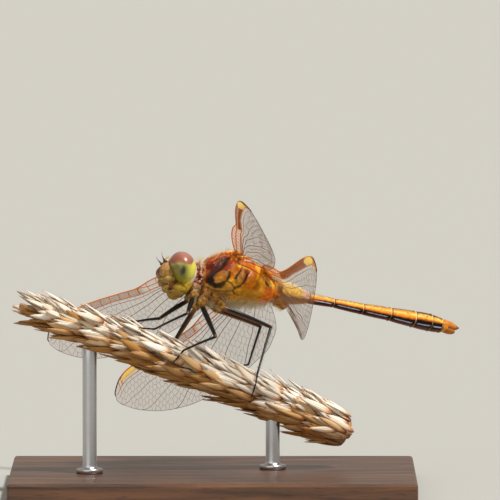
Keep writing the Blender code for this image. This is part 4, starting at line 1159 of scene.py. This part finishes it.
def veinRuns(kind, vein):
    # the edge, the long veins and the cross veins of a wing as lines of shares, each with what it is
    nodus, (spotStart, spotEnd) = wingBuild["nodus"][kind], wingBuild["spot"]
    whole = np.linspace(0.0, 1.0, 90)
    edge = [(u, 0.0) for u in whole] + [(1.0, f) for f in (0.25, 0.5, 0.75)] + [(u, 1.0) for u in whole[::-1]]
    runs = [(edge, "edge")]
    for k in range(1, len(veinLines[kind]) + 1):
        run = []
        for u in np.linspace(0.0, 0.99, 100):
            f = vein(k, u)
            apart = (f - vein(k - 1, u)) * chordAt(kind, u).sum()
            going = f < 0.995 and (apart > 0.02 or not run or u < 0.2)
            if going or run:
                run.append((u, f))
            if run and not going:
                break
        runs.append((run, k))
    crossing = [i * nodus / 9 for i in range(1, 9)]
    beyond = [nodus + (spotStart - nodus) * i / 7 for i in range(1, 7)]
    ladders = ((0, 1, crossing), (1, 2, [*crossing, nodus]),
               (0, 2, [nodus, *beyond, spotStart, spotEnd, 0.935, 0.96]),
               (2, 3, [0.06 + 0.9 * i / 22 for i in range(23)]))
    for front, back, places in ladders:
        for u in places:
            what = "nodus" if u == nodus else "cross" if back < 3 else "rung"
            runs.append(([(u, vein(front, u)), (u + 0.002, vein(back, u))], what))
    return runs


def makeVeins(name, kind, sign, material, tree):
    place, vein = wingSurface(kind, sign), veinReader(kind)
    points, edges, radii, amber = [], [], [], []
    main, side, net = (wingBuild[key] for key in ("mainRadius", "sideRadius", "netRadius"))
    short = {"nodus": (main * 1.3, 1.0), "cross": (side * 1.5, 0.95), "rung": (net * 1.2, 0.15),
             "net": (net, 0.08)}
    walls = netWalls(kind, vein, wingBuild["seed"])
    for run, what in veinRuns(kind, vein) + [(wall, "net") for wall in walls]:
        u, f = np.array(run).T
        first = len(points)
        points += list(place(u, f))
        edges += [(first + i, first + i + 1) for i in range(len(u) - 1)]
        fade = fall(0.35, 1.0, u)
        if what in short:
            radius, tone = short[what]
        elif what == "edge":
            radius = np.where(f < 0.5, main * 1.15, side * 0.75)
            tone = np.where(f < 0.5, 0.95 * fall(0.9, 0.95, u), 0.05)
        else:
            radius = {1: main * 0.8, 2: main}.get(what, side) * (0.6 + 0.4 * fade)
            tone = {1: 0.8, 2: 0.9, 3: 0.35}.get(what, 0.12) * (0.7 + 0.3 * fade) + 0.5 * fall(0.0, 0.12, u)
        radii += list(np.broadcast_to(radius, len(u)))
        amber += list(np.broadcast_to(tone, len(u)))
    mesh = bpy.data.meshes.new(name)
    mesh.from_pydata((moved(points, bodyPlace) * mm).tolist(), edges, [])
    setAttribute(mesh, "thick", np.array(radii) * mm)
    setAttribute(mesh, "amber", np.clip(amber, 0, 1))
    return grown(shown(name + "Lines", mesh), tree, {"Sides": 6, "Finish": material}, name)


def makeVeinTree():
    # veins as tubes along the lines, each point with its own radius
    tree, given = newTree("veins", {"Sides": "Int", "Finish": "Material"})
    thick = addNode(tree, "GeometryNodeInputNamedAttribute", {"Name": "thick"}, data_type="FLOAT")
    curve = addNode(tree, "GeometryNodeMeshToCurve", {"Mesh": given["Geometry"]})
    ring = addNode(tree, "GeometryNodeCurvePrimitiveCircle", {"Resolution": given["Sides"], "Radius": 1.0})
    tubes = addNode(tree, "GeometryNodeCurveToMesh", {
        "Curve": curve, "Profile Curve": ring, "Scale": thick, "Fill Caps": True})
    return closeTree(tree, given, addNode(tree, "GeometryNodeRealizeInstances", {"Geometry": tubes}))


def makeFilm(name, kind, sign, material):
    # the membrane: a closed sheet with the wing's outline, camber and pleats
    place, vein, half = wingSurface(kind, sign), veinReader(kind), wingBuild["film"] / 2
    long = np.linspace(0.0, 1.0, 91)
    wide = np.concatenate([np.linspace(0, 0.24, 13), np.linspace(0.24, 1, 20)[1:]])
    rows, columns = len(long), len(wide)
    points = np.concatenate([place(np.full(columns, u), wide, lift) for lift in (half, -half) for u in long])
    count, faces = rows * columns, []
    grid = np.arange(count).reshape(rows, columns)
    corners = (grid[:-1, :-1], grid[:-1, 1:], grid[1:, 1:], grid[1:, :-1])
    for a, b, c, d in zip(*(part.ravel().tolist() for part in corners)):
        faces += [(a, b, c, d), (d + count, c + count, b + count, a + count)]
    rim = np.concatenate([grid[0], grid[1:, -1], grid[-1, -2::-1], grid[-2:0:-1, 0]]).tolist()
    faces += [(a, a + count, b + count, b) for a, b in zip(rim, rim[1:] + rim[:1])]
    piece = newPiece(name, points, faces, bodyPlace, material)
    u, f = np.tile(np.repeat(long, columns), 2), np.tile(np.tile(wide, rows), 2)
    nodus = wingBuild["nodus"][kind]
    flush = 0.8 * fall(0.3, 1.0, u / wings[kind]["flush"]) * fall(0.35, 0.6, f)
    strip = fall(-0.01, 0.02, f - vein(2, u)) * step(nodus - 0.04, nodus, u) * fall(0.8, 0.84, u)
    flush += wings[kind]["strip"][sign] * strip + 0.08 * fall(0.2, 0.5, f) * fall(0.1, nodus, u)
    setAttribute(piece.data, "flush", np.clip(flush, 0, 1))
    return piece


def makeSpot(name, kind, sign, material):
    # the wing spot: its cell filled, a little thicker than the membrane, and narrow on the far wings
    place, vein = wingSurface(kind, sign), veinReader(kind)
    (start, end), narrow, across = wingBuild["spot"], 1.0 if sign > 0 else 0.6, 8
    rings = []
    for t in np.linspace(-0.985, 0.985, 20):
        u = (start + end) / 2 + (end - start) / 2 * t
        full = math.sqrt(1 - abs(t) ** 2.4)
        half = (vein(2, u) / 2 + 0.008) * full * narrow
        f = vein(2, u) / 2 - 0.01 + np.linspace(-half, half, across)
        thick = 0.02 + 0.07 * full * np.sin(np.linspace(0.15, math.pi - 0.15, across))
        row = np.full(across, u)
        rings.append(np.concatenate([place(row, f, thick), place(row, f, -thick)[::-1]]))
    return newPiece(name, *loft(rings), bodyPlace, material)


# the perch: millimetres and degrees, its high end to the left
perch = {
    "highEnd": (-18.9, -5.4, 18.7),
    "run": 32.9,
    "turn": 13.4,
    "slopes": (0.359, 0.446),
    "radii": (1.95, 2.45),
    "core": 1.12,  # how far the stem lies inside the envelope
    "spikelets": 300,
    "spiral": 137.5,  # degrees round the stem from one to the next
    # each husk of a spikelet: kind, side, share of the length, more splay in degrees
    "spikelet": (("outer", -1, 0.92, 0), ("outer", 1, 0.92, 0), ("inner", -0.35, 0.86, 2),
                 ("inner", 0.45, 0.86, 2)),
    "husks": {  # width, keel, bow, point
        "outer": (0.115, 0.045, 0.03, 0.7),
        "inner": (0.085, 0.042, 0.02, 0.8),
    },
    "seed": 5,
    "firstRoot": 3.1,
    "lastRoot": 33.2,
    "length": (2.3, 4.3),
    "splay": (2.0, 9.0),
    "strays": 0.12,  # share of spikelets that stand well out
}


def perchAxis(station):
    station = np.atleast_1d(np.asarray(station, float))
    first, last = perch["slopes"]
    drop = station * (first + (last - first) * station / perch["run"] / 2)
    turn = math.radians(perch["turn"])
    return np.column_stack([station * math.cos(turn), station * math.sin(turn), -drop]) + perch["highEnd"]


def perchFrame(station):
    along = unit(perchAxis(station + 0.1)[0] - perchAxis(station - 0.1)[0])
    up = unit(np.array([0, 0, 1.0]) - along * along[2])
    return along, up, np.cross(along, up)


def perchPoint(station, angle, outside=0.0):
    _, up, front = perchFrame(station)
    first, last = perch["radii"]
    radius = first + (last - first) * station / perch["run"] + outside
    return perchAxis(station)[0] + radius * (up * math.cos(angle) + front * math.sin(angle))


def stemDepth(station):
    # from the envelope in to the stem, which is thinner at its high end
    return -perch["core"] - 0.62 * fall(1.0, 6.5, station)


def newModel(name, points, faces, strand):
    # a small shape that a tree repeats; it never shows itself
    mesh = newMesh(name, points, faces)
    setAttribute(mesh, "strand", strand, "FLOAT_VECTOR")
    return bpy.data.objects.new(name, mesh)


def makeHusk(name, width, keel, bow, point):
    # a boat of dry leaf, root at the origin, tip at 1 on x, keel towards z
    rings, strand = [], []
    for t in (0.03, 0.16, 0.32, 0.5, 0.68, 0.84, 0.96):
        w = width * math.sin(math.pi * min(t ** 0.7, 1)) ** point + 0.012
        h = keel * math.sin(math.pi * t ** 0.8) ** 0.8 + 0.01
        z = bow * math.sin(math.pi * t) + 0.05 * t ** 3
        section = ((-1, 0), (-0.6, 0.75), (0, 1.15), (0.6, 0.75), (1, 0), (0, 0.3))
        rings.append([(t, side * w, z + high * h) for side, high in section])
        strand += [(side, t, 0) for side in (-1, -0.5, 0, 0.5, 1, 0)]
    points, faces = loft(rings)
    points[-2:] = (0, 0, 0), (1.03, 0, 0.05)
    return newModel(name, points, faces, strand + [(0, 0, 0), (0, 1, 0)])


def makePlantTree():
    # one model at each point: its x along aim, its z towards out, scaled by size
    tree, given = newTree("plant", {"Model": "Object", "Finish": "Material"})
    read = {name: addNode(tree, "GeometryNodeInputNamedAttribute", {"Name": name}, data_type="FLOAT_VECTOR")
            for name in ("aim", "out", "size")}
    turn = addNode(tree, "FunctionNodeAxesToRotation",
                   {"Primary Axis": read["aim"], "Secondary Axis": read["out"]},
                   primary_axis="X", secondary_axis="Z")
    model = addNode(tree, "GeometryNodeObjectInfo", {"Object": given["Model"]}).outputs["Geometry"]
    points = addNode(tree, "GeometryNodeMeshToPoints", {"Mesh": given["Geometry"]})
    copies = addNode(tree, "GeometryNodeInstanceOnPoints", {
        "Points": points, "Instance": model, "Rotation": turn, "Scale": read["size"]})
    return closeTree(tree, given, addNode(tree, "GeometryNodeRealizeInstances", {"Geometry": copies}))


def planted(name, rows, model, tree, material):
    # rows of (place, aim, out, size, tint) in the world's millimetres
    places, aims, outs, sizes, tints = (np.array(column, float) for column in zip(*rows))
    mesh = bpy.data.meshes.new(name)
    mesh.from_pydata((places * mm).tolist(), [], [])
    for label, values in (("aim", aims), ("out", outs), ("size", sizes * mm)):
        setAttribute(mesh, label, values, "FLOAT_VECTOR")
    setAttribute(mesh, "tint", tints)
    setAttribute(mesh, "darkHair", tints)
    return grown(shown(name + "Points", mesh), tree, {"Model": model, "Finish": material}, name)


def huskRows(draw):
    # spikelets in a close spiral, each of two outer husks and two inner ones
    kinds = {"outer": [], "inner": []}
    first, last, count = perch["firstRoot"], perch["lastRoot"], perch["spikelets"]
    for i in range(count):
        station = min(max(first + (last - first) * i / (count - 1) + draw.uniform(-0.5, 0.5), first), last)
        angle = i * math.radians(perch["spiral"]) + draw.uniform(-0.55, 0.55)
        along = perchFrame(station)[0]
        stray = draw.random() < perch["strays"]
        under = 0.5 - 0.5 * math.cos(angle)
        clump = 0.22 * math.sin(1.7 * station + 2 * angle) - 0.35 * under
        outward = unit(perchPoint(station, angle) - perchAxis(station)[0])
        side = np.cross(outward, along)
        for kind, fan, share, more in perch["spikelet"]:
            length = draw.uniform(*perch["length"]) * share
            splay = math.radians(draw.uniform(*perch["splay"]) + (draw.uniform(4, 11) if stray else 0) + more)
            lean = math.radians(fan * draw.uniform(3, 12) + draw.uniform(-10, 10))
            depth = stemDepth(station) - 0.05 + clump + draw.uniform(-0.15, 0.6)
            root = perchPoint(station, angle, depth) + side * fan * 0.3
            aim = outward * math.sin(splay) + side * math.sin(lean) - along * math.cos(splay) * math.cos(lean)
            out = outward * math.cos(splay) + along * math.sin(splay)
            out += side * (fan * 0.45 + draw.uniform(-0.22, 0.22))
            size = (length, length * draw.uniform(0.72, 1.15), length)
            # husks round the underside get a browner tint: partly weathering, partly painted shade
            tint = min(max(0.04 + 0.88 * step(0.34, 0.8, under) + draw.uniform(-0.12, 0.12), 0), 1)
            kinds[kind].append((root, aim, out, size, tint))
    return kinds


def makeStem(material):
    # the stem under the husks, cut square at both ends
    rings = []
    for station in np.linspace(0.0, perch["run"], 90):
        ring = []
        for angle in np.arange(28) * 2 * math.pi / 28:
            rough = 0.08 * math.sin(station * 5.0 + 3 * angle) * math.sin(station * 2.3 - 2 * angle)
            ring.append(perchPoint(station, angle, stemDepth(station) + rough))
        rings.append(ring)
    return newPiece("perchStem", *loft(rings), worldPlace, material)


# the legs: millimetres, from hip to claws
legs = {
    "femurRadii": {"front": (0.2, 0.25, 0.22, 0.17), "mid": (0.22, 0.26, 0.22, 0.17),
                   "hind": (0.28, 0.28, 0.23, 0.18)},
    "tibiaRadii": (0.15, 0.125, 0.11, 0.1),
    "tarsusRadii": (0.095, 0.08, 0.085, 0.065),
    "footLift": 0.12,  # from the husks' envelope to the foot's axis
    "clawLength": 0.42,
    "spine": (0.34, 0.02),  # length and root radius
    "spineGap": 0.36,
    "topWay": (0.13, 0.71, 0.69),  # no limb runs this way
    "stance": {  # foot's place along the perch and round it, then the claws'
        ("front", "left"): ((12.6, 12.0), (11.2, 30.0)), ("front", "right"): ((10.8, -13.0), (9.0, -18.0)),
        ("mid", "left"): ((15.5, 55.0), (15.0, 88.0)), ("mid", "right"): ((15.4, -62.0), (14.2, -95.0)),
        ("hind", "left"): ((22.8, 39.0), (22.9, 96.0)), ("hind", "right"): ((22.2, -12.0), (21.2, -62.0)),
    },
}


def limbEnds(node, near):
    # the two ends of a straight CAD limb, the one nearer to a point first
    points = nodePoints(node)
    middle = points.mean(0)
    axis = np.linalg.svd(points - middle)[2][0]
    reach = (points - middle) @ axis
    ends = [middle + axis * reach.min(), middle + axis * reach.max()]
    return sorted(ends, key=lambda end: np.linalg.norm(end - near))


def spineRows(start, end, first, tilt, thick):
    # two rows of spines on a limb's underside, from a share of its length on
    (long, wide), gap, rows = legs["spine"], legs["spineGap"], []
    way, length = unit(end - start), np.linalg.norm(end - start)
    down = unit(np.array([0, 0, -1.0]) + way * way[2])
    across = np.cross(way, down)
    for k in range(int(length * (1 - first) / gap)):
        for row in (-1, 1):
            lean = down * 0.8 + across * row * 0.7
            place = start + way * (first * length + (k + 0.25 * row) * gap) + lean * thick * 0.8
            rows.append((place, lean * tilt + way * 0.62, across, (long, wide, wide), 0.8))
    return rows


def makeLeg(pair, side, material):
    name, sign = f"leg_{pair}_{side}", 1 if side == "left" else -1
    hip = moved([np.array(trunk["hips"][pair][1]) * (1, sign, 1)], bodyPlace)[0]
    femur = limbEnds(name + "_femur", hip)
    thigh = unit(femur[1] - femur[0])
    knee = femur[1] + thigh * 0.03
    (station, turn), (clawStation, clawTurn) = legs["stance"][(pair, side)]
    wrap = [perchPoint(station + (clawStation - station) * t, math.radians(turn + (clawTurn - turn) * t),
                       legs["footLift"] + 0.12 * (1 - t) ** 2) for t in np.linspace(0, 1, 12)]
    forms, zones = [], []

    def add(form, zone):
        forms.append(form)
        zones.extend([zone] * len(form[0]))

    def limb(start, end, bow, shares, radii, zone):
        line = [start + (end - start) * t + np.array([0, 0, bow]) * math.sin(math.pi * t) for t in shares]
        add(tube(line, smoothLine(radii, len(line)), 14, legs["topWay"], 0.05), zone)

    limb(hip, knee, 0.06, np.linspace(-0.03, 1, 26), legs["femurRadii"][pair], 1)
    add(ellipsoid(knee, (0.15, 0.15, 0.15), 10, 14), 3)
    limb(knee, wrap[0], 0.042, np.linspace(0, 1, 24), legs["tibiaRadii"], 2)
    foot, beads = smoothLine(wrap, 30), 1 + 0.14 * np.sin(np.linspace(0, 6 * math.pi, 30))
    thick = np.interp(np.linspace(0, 3, 30), range(4), legs["tarsusRadii"]) * beads
    add(tube(foot, thick, 10, legs["topWay"]), 4)
    along, inward = unit(foot[-1] - foot[-3]), unit(perchAxis(clawStation)[0] - foot[-1])
    across, reach = np.cross(along, inward), legs["clawLength"]
    for fan in (-1, 1):
        aside, end = across * fan, foot[-1]
        hook = [end - along * 0.03, end + (along + aside * 0.35) * reach * 0.5 - inward * 0.03,
                end + (along * 0.85 + aside * 0.5 + inward * 0.35) * reach]
        add(tube(smoothLine(hook, 8), np.linspace(0.045, 0.012, 8), 8, legs["topWay"]), 5)
    points, faces = joined(forms)
    piece = newPiece(f"leg{pair.capitalize()}{side.capitalize()}", points, faces, worldPlace, material)
    zones, low = np.array(zones), step(0.25, 0.65, -surface(piece.data)[1][:, 2])
    share = np.clip((points - hip) @ thigh / np.linalg.norm(knee - hip), 0, 1)
    paint = Paint(len(points), "#0A0909")
    paint.lay((zones == 1) * low * fall(0.8, 1.0, share), "#8A5A2C")
    paint.lay((zones == 1) * fall(0.02, 0.14, share), "#7A4E22")
    paint.lay((zones == 2) * low * 0.45, "#6A4A2A")
    paint.lay((zones == 3) * 1.0 + (zones == 1) * step(0.95, 1.0, share), "#7A4528")
    paint.store(piece.data)
    return piece, spineRows(hip, knee, 0.3, 0.75, 0.15) + spineRows(knee, wrap[0], 0.08, 0.8, 0.085)


tail = {
    "claspers": ((-22.5, 0.24, 0.2), (-23.1, 0.28, 0.22), (-23.7, 0.25, 0.18), (-24.25, 0.16, 0.2)),
    "clasperRadii": (0.5, 0.42, 0.28, 0.05),
    "lowerPlate": ((-22.95, 0.0, -0.16), (0.95, 0.5, 0.42)),
}


def makeClaspers(material):
    forms = []
    for sign in (1, -1):
        line = smoothLine(np.array(tail["claspers"]) * (1, sign, 1), 16)
        forms.append(tube(line, np.maximum(smoothLine(tail["clasperRadii"], 16), 0.03), 14))
    forms.append(ellipsoid(*tail["lowerPlate"], 16, 20, -8))
    points, faces = joined(forms)
    piece = newPiece("claspers", points, faces, bodyPlace, material)
    paint = Paint(len(points), "#C47A2E")
    paint.lay(fall(-24.3, -23.7, points[:, 0]), "#4A2A16")
    paint.lay((points[:, 2] < 0.0) * 0.6, "#8A4E20")
    paint.store(piece.data)
    return piece


def makeRod(node, name, material):
    low, high = (np.array(corner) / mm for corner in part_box(node))
    (x, y, _), foot, top, radius, flange = (low + high) / 2, low[2], high[2], 0.7, 1.3
    profile = [(0.02, top), (radius - 0.2, top), (radius - 0.06, top - 0.06), (radius, top - 0.2)]
    profile += [(radius, top - 0.2 - (top - foot - 1.0) * k / 4) for k in range(1, 5)]
    for a in np.linspace(0, math.pi / 2, 7)[1:]:
        profile.append((radius + 0.3 * (1 - math.cos(a)), foot + 0.8 - 0.35 * math.sin(a)))
    profile += [(flange - 0.1, foot + 0.45), (flange - 0.03, foot + 0.42), (flange, foot + 0.35)]
    profile += [(flange, foot), (0.02, foot)]
    turn = np.linspace(0, 2 * math.pi, 64, endpoint=False)
    rings = [np.column_stack([x + r * np.cos(turn), y + r * np.sin(turn), np.full(64, z)])
             for r, z in profile]
    return newPiece(name, *loft(rings), worldPlace, material)


coat = {
    "bodyHair": (1.6, 0.009),  # how many, as a share of the skin's own number, and the radius at the root
    "faceHair": (1.4, 0.008),
    "bend": 9.0,
    "patch": 0.003,  # each hair's width on its unwrap
    "seed": 7,
}


def makeCoatTree():
    # short hairs over a skin: as many, as long and lying as the skin's own values say
    tree, given = newTree("coat", {"Thickness": "Float", "Count Scale": "Float", "Bend": "Float",
                                   "Seed": "Int", "Patch": "Float", "Finish": "Material"})

    def read(name, kind="FLOAT_VECTOR"):
        return addNode(tree, "GeometryNodeInputNamedAttribute", {"Name": name}, data_type=kind)

    def maths(kind, operation, *values):
        return addNode(tree, "ShaderNode" + kind, dict(enumerate(values)), operation=operation)

    def chance(low, high, seed):
        limits = {"Min": low, "Max": high} if isinstance(low, tuple) else {2: low, 3: high}
        return addNode(tree, "FunctionNodeRandomValue", {**limits, "Seed": seed},
                       data_type="FLOAT_VECTOR" if isinstance(low, tuple) else "FLOAT")

    cone = addNode(tree, "GeometryNodeMeshCone", {
        "Vertices": 3, "Side Segments": 3, "Radius Top": 0.15, "Radius Bottom": 1.0, "Depth": 1.0})
    spot = addNode(tree, "ShaderNodeSeparateXYZ", {0: addNode(tree, "GeometryNodeInputPosition")}).outputs
    across = maths("Math", "MULTIPLY_ADD", spot["X"], 0.5, 0.5)
    strand = addNode(tree, "ShaderNodeCombineXYZ", {"X": across, "Y": spot["Z"]})
    marked = addNode(tree, "GeometryNodeStoreNamedAttribute",
                     {"Geometry": cone, "Name": "strand", "Value": strand},
                     data_type="FLOAT_VECTOR")
    bend = maths("Math", "MULTIPLY", maths("Math", "POWER", spot["Z"], 2.0), given["Bend"])
    shift = addNode(tree, "ShaderNodeCombineXYZ", {"X": bend})
    hair = addNode(tree, "GeometryNodeSetPosition", {"Geometry": marked, "Offset": shift})
    density = maths("Math", "MULTIPLY", read("thick", "FLOAT"), given["Count Scale"])
    roots = addNode(tree, "GeometryNodeDistributePointsOnFaces", {
        "Mesh": given["Geometry"], "Density": density, "Seed": given["Seed"]})
    way = maths("VectorMath", "ADD", read("lie"), chance((-0.3, -0.3, -0.3), (0.3, 0.3, 0.3), 3))
    aligned = addNode(tree, "FunctionNodeAlignRotationToVector", {"Vector": way}, axis="Z")
    spin = chance((0.0, 0.0, -1.2), (0.0, 0.0, 1.2), 5)
    turned = addNode(tree, "FunctionNodeRotateRotation", {"Rotation": aligned, "Rotate By": spin},
                     rotation_space="LOCAL")
    reach = maths("Math", "MULTIPLY", read("long", "FLOAT"), chance(0.55 * mm, 1.15 * mm, 9))
    size = addNode(tree, "ShaderNodeCombineXYZ", {
        "X": given["Thickness"], "Y": given["Thickness"], "Z": reach})
    hairs = addNode(tree, "GeometryNodeInstanceOnPoints", {
        "Points": roots, "Instance": hair, "Rotation": turned, "Scale": size})
    whole = addNode(tree, "GeometryNodeRealizeInstances", {"Geometry": hairs})
    small = addNode(tree, "ShaderNodeVectorMath", {0: read("strand"), "Scale": given["Patch"]},
                    operation="SCALE")
    place = maths("VectorMath", "ADD", read("unwrap"), small)
    baked = addNode(tree, "GeometryNodeStoreNamedAttribute",
                    {"Geometry": whole, "Name": "OFBake", "Value": place},
                    data_type="FLOAT2", domain="CORNER")
    return closeTree(tree, given, baked)


def makeCoat(name, skin, tree, material, count, thickness):
    values = {"Thickness": thickness * mm, "Count Scale": count * 1e6, "Bend": coat["bend"],
              "Seed": coat["seed"], "Patch": coat["patch"], "Finish": material}
    return grown(shown(name + "Skin", skin.data.copy()), tree, values, name)


def show(piece, slot, *nodes):
    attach(piece, "root")
    if nodes:
        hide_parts(*nodes)
    return piece


shell = makeCuticle("waxy cuticle", 0.3, 0.14, 0.09, 0.009, 0.25)
faceShell = makeCuticle("face cuticle", 0.3, 0.2, 0.07, 0.008, 0.22)
legShell = makeCuticle("black leg cuticle", 0.26, 0.28, 0.06, 0.01, 0.1)
cornea, membrane, veinChitin, spotWax = makeCornea(), makeMembrane(), makeVein(), makeSpotWax()
hairSilk = makeBristle("pale hair", "#CBB276", "#F6EAC4", "#1C130C")
spineChitin = makeBristle("spine chitin", "#8A765A", "#B7A586", "#1A1410")
straw, pith, walnut, steel = makeStraw(), makePith(), makeWood(), makeSteel()

sides = (("left", 1), ("right", -1))
coxae = [f"leg_{pair}_{side}_coxa" for pair in ("front", "mid", "hind") for side, _ in sides]
bodySkin = show(makeBodySkin(shell), "thorax_cuticle", "synthorax", "prothorax", "head", "hamules", *coxae,
                *[f"abdomen_{i}" for i in range(1, 11)])
print("body skin:", len(bodySkin.data.polygons), "faces")
faceSkin = show(makeFace(faceShell), "head_cuticle", "face", "mouth")
for side, sign in sides:
    show(makeEye("eye" + side.capitalize(), sign, cornea), "cornea", f"eye_{side}")
    show(makeAntenna("antenna" + side.capitalize(), sign, legShell), "leg_cuticle", f"antenna_{side}")
show(makeClaspers(shell), "abdomen_cuticle", "cercus_left", "cercus_right")
print("head:", len(faceSkin.data.polygons), "faces")

veinTree = makeVeinTree()
for kind in wings:
    for side, sign in sides:
        label = kind + side.capitalize()
        show(makeFilm(label + "Film", kind, sign, membrane), "wing_membrane", f"{kind}_{side}")
        veins = show(makeVeins(label + "Veins", kind, sign, veinChitin, veinTree), "wing_vein")
        show(makeSpot(label + "Spot", kind, sign, spotWax), "wing_vein")
        print(label, len(veins.data.polygons), "vein faces")

plantTree = makePlantTree()
spineLine = tube([(t, 0, 0) for t in (0, 0.35, 0.7, 1.0)], [1, 0.8, 0.5, 0.15], 4)
spineModel = newModel("spineModel", *spineLine, [(0, x, 0) for x, _, _ in spineLine[0]])
spines = []
for pair, side in legs["stance"]:
    leg, rows = makeLeg(pair, side, legShell)
    show(leg, "leg_cuticle", *[f"leg_{pair}_{side}_{part}" for part in ("femur", "tibia", "tarsus")])
    spines += rows
show(planted("legSpines", spines, spineModel, plantTree, spineChitin), "bristle")

show(makeStem(pith), "dry_straw", "perch")
husks = huskRows(random.Random(perch["seed"]))
for kind, shape in perch["husks"].items():
    model = makeHusk(kind + "Husk", *shape)
    piece = show(planted("perchHusks" + kind.capitalize(), husks[kind], model, plantTree, straw), "dry_straw")
    print(kind, "husks:", len(piece.data.polygons), "faces")

coatTree = makeCoatTree()
for name, skin in (("bodyHair", bodySkin), ("faceHair", faceSkin)):
    piece = show(makeCoat(name, skin, coatTree, hairSilk, *coat[name]), "bristle")
    print(name, len(piece.data.polygons), "faces")

show(makeRod("stand_rod_high", "standRodHigh", steel), "stand_steel", "stand_rod_high")
show(makeRod("stand_rod_low", "standRodLow", steel), "stand_steel", "stand_rod_low")
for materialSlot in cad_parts["stand_base"].material_slots:
    materialSlot.material = walnut

# floor, light and camera: millimetres and degrees
studio = {
    "floorRadius": 6000.0,
    "target": (3.663, 4.193, 23.443),
    "elevation": 4.0,
    "distance": 900.0,
    "frameWidth": 49.505,
    "sensor": 36.0,
    "sky": 0.5,
    # each light: where it shines from, power, degrees across
    "lights": {"sun": ((0.45, -0.28, 1.0), 3.9, 8.0), "fill": ((-0.5, -1.0, 0.5), 0.7, 60.0)},
}


def makeStudio():
    mesh = bpy.data.meshes.new("floor")
    rim = np.linspace(0, 2 * math.pi, 64, endpoint=False)
    floorPoints = np.column_stack([np.cos(rim), np.sin(rim), 0 * rim]) * studio["floorRadius"] * mm
    mesh.from_pydata(floorPoints.tolist(), [], [tuple(range(64))])
    mesh.materials.append(Finish("matt paper", {"Roughness": 0.9, "Base Color": "#A9A7A0"}).material)
    shown("floor", mesh)
    world = bpy.data.worlds.new("studio")
    world.use_nodes = True
    background = world.node_tree.nodes["Background"].inputs
    background["Color"].default_value = linearColour("#F0EBE3")
    background["Strength"].default_value = studio["sky"]
    scene = bpy.context.scene
    scene.world = world
    scene.view_settings.view_transform = "Standard"  # colours show as they are mixed
    for name, (way, power, size) in studio["lights"].items():
        light = bpy.data.lights.new(name, "SUN")
        light.energy, light.angle = power, math.radians(size)
        shown(name, light).rotation_euler = Vector(way).to_track_quat("Z", "Y").to_euler()
    lens = bpy.data.cameras.new("camera")
    lens.sensor_width = studio["sensor"]
    lens.lens = studio["sensor"] * studio["distance"] / studio["frameWidth"]
    lens.clip_start, lens.clip_end = 0.01, 20.0
    scene.camera = camera = shown("camera", lens)
    rise = math.radians(studio["elevation"])
    away = Vector((0, -math.cos(rise), math.sin(rise))) * studio["distance"] * mm
    camera.location = Vector(studio["target"]) * mm + away
    camera.rotation_euler = (math.pi / 2 - rise, 0, 0)


makeStudio()
print("studio ready")
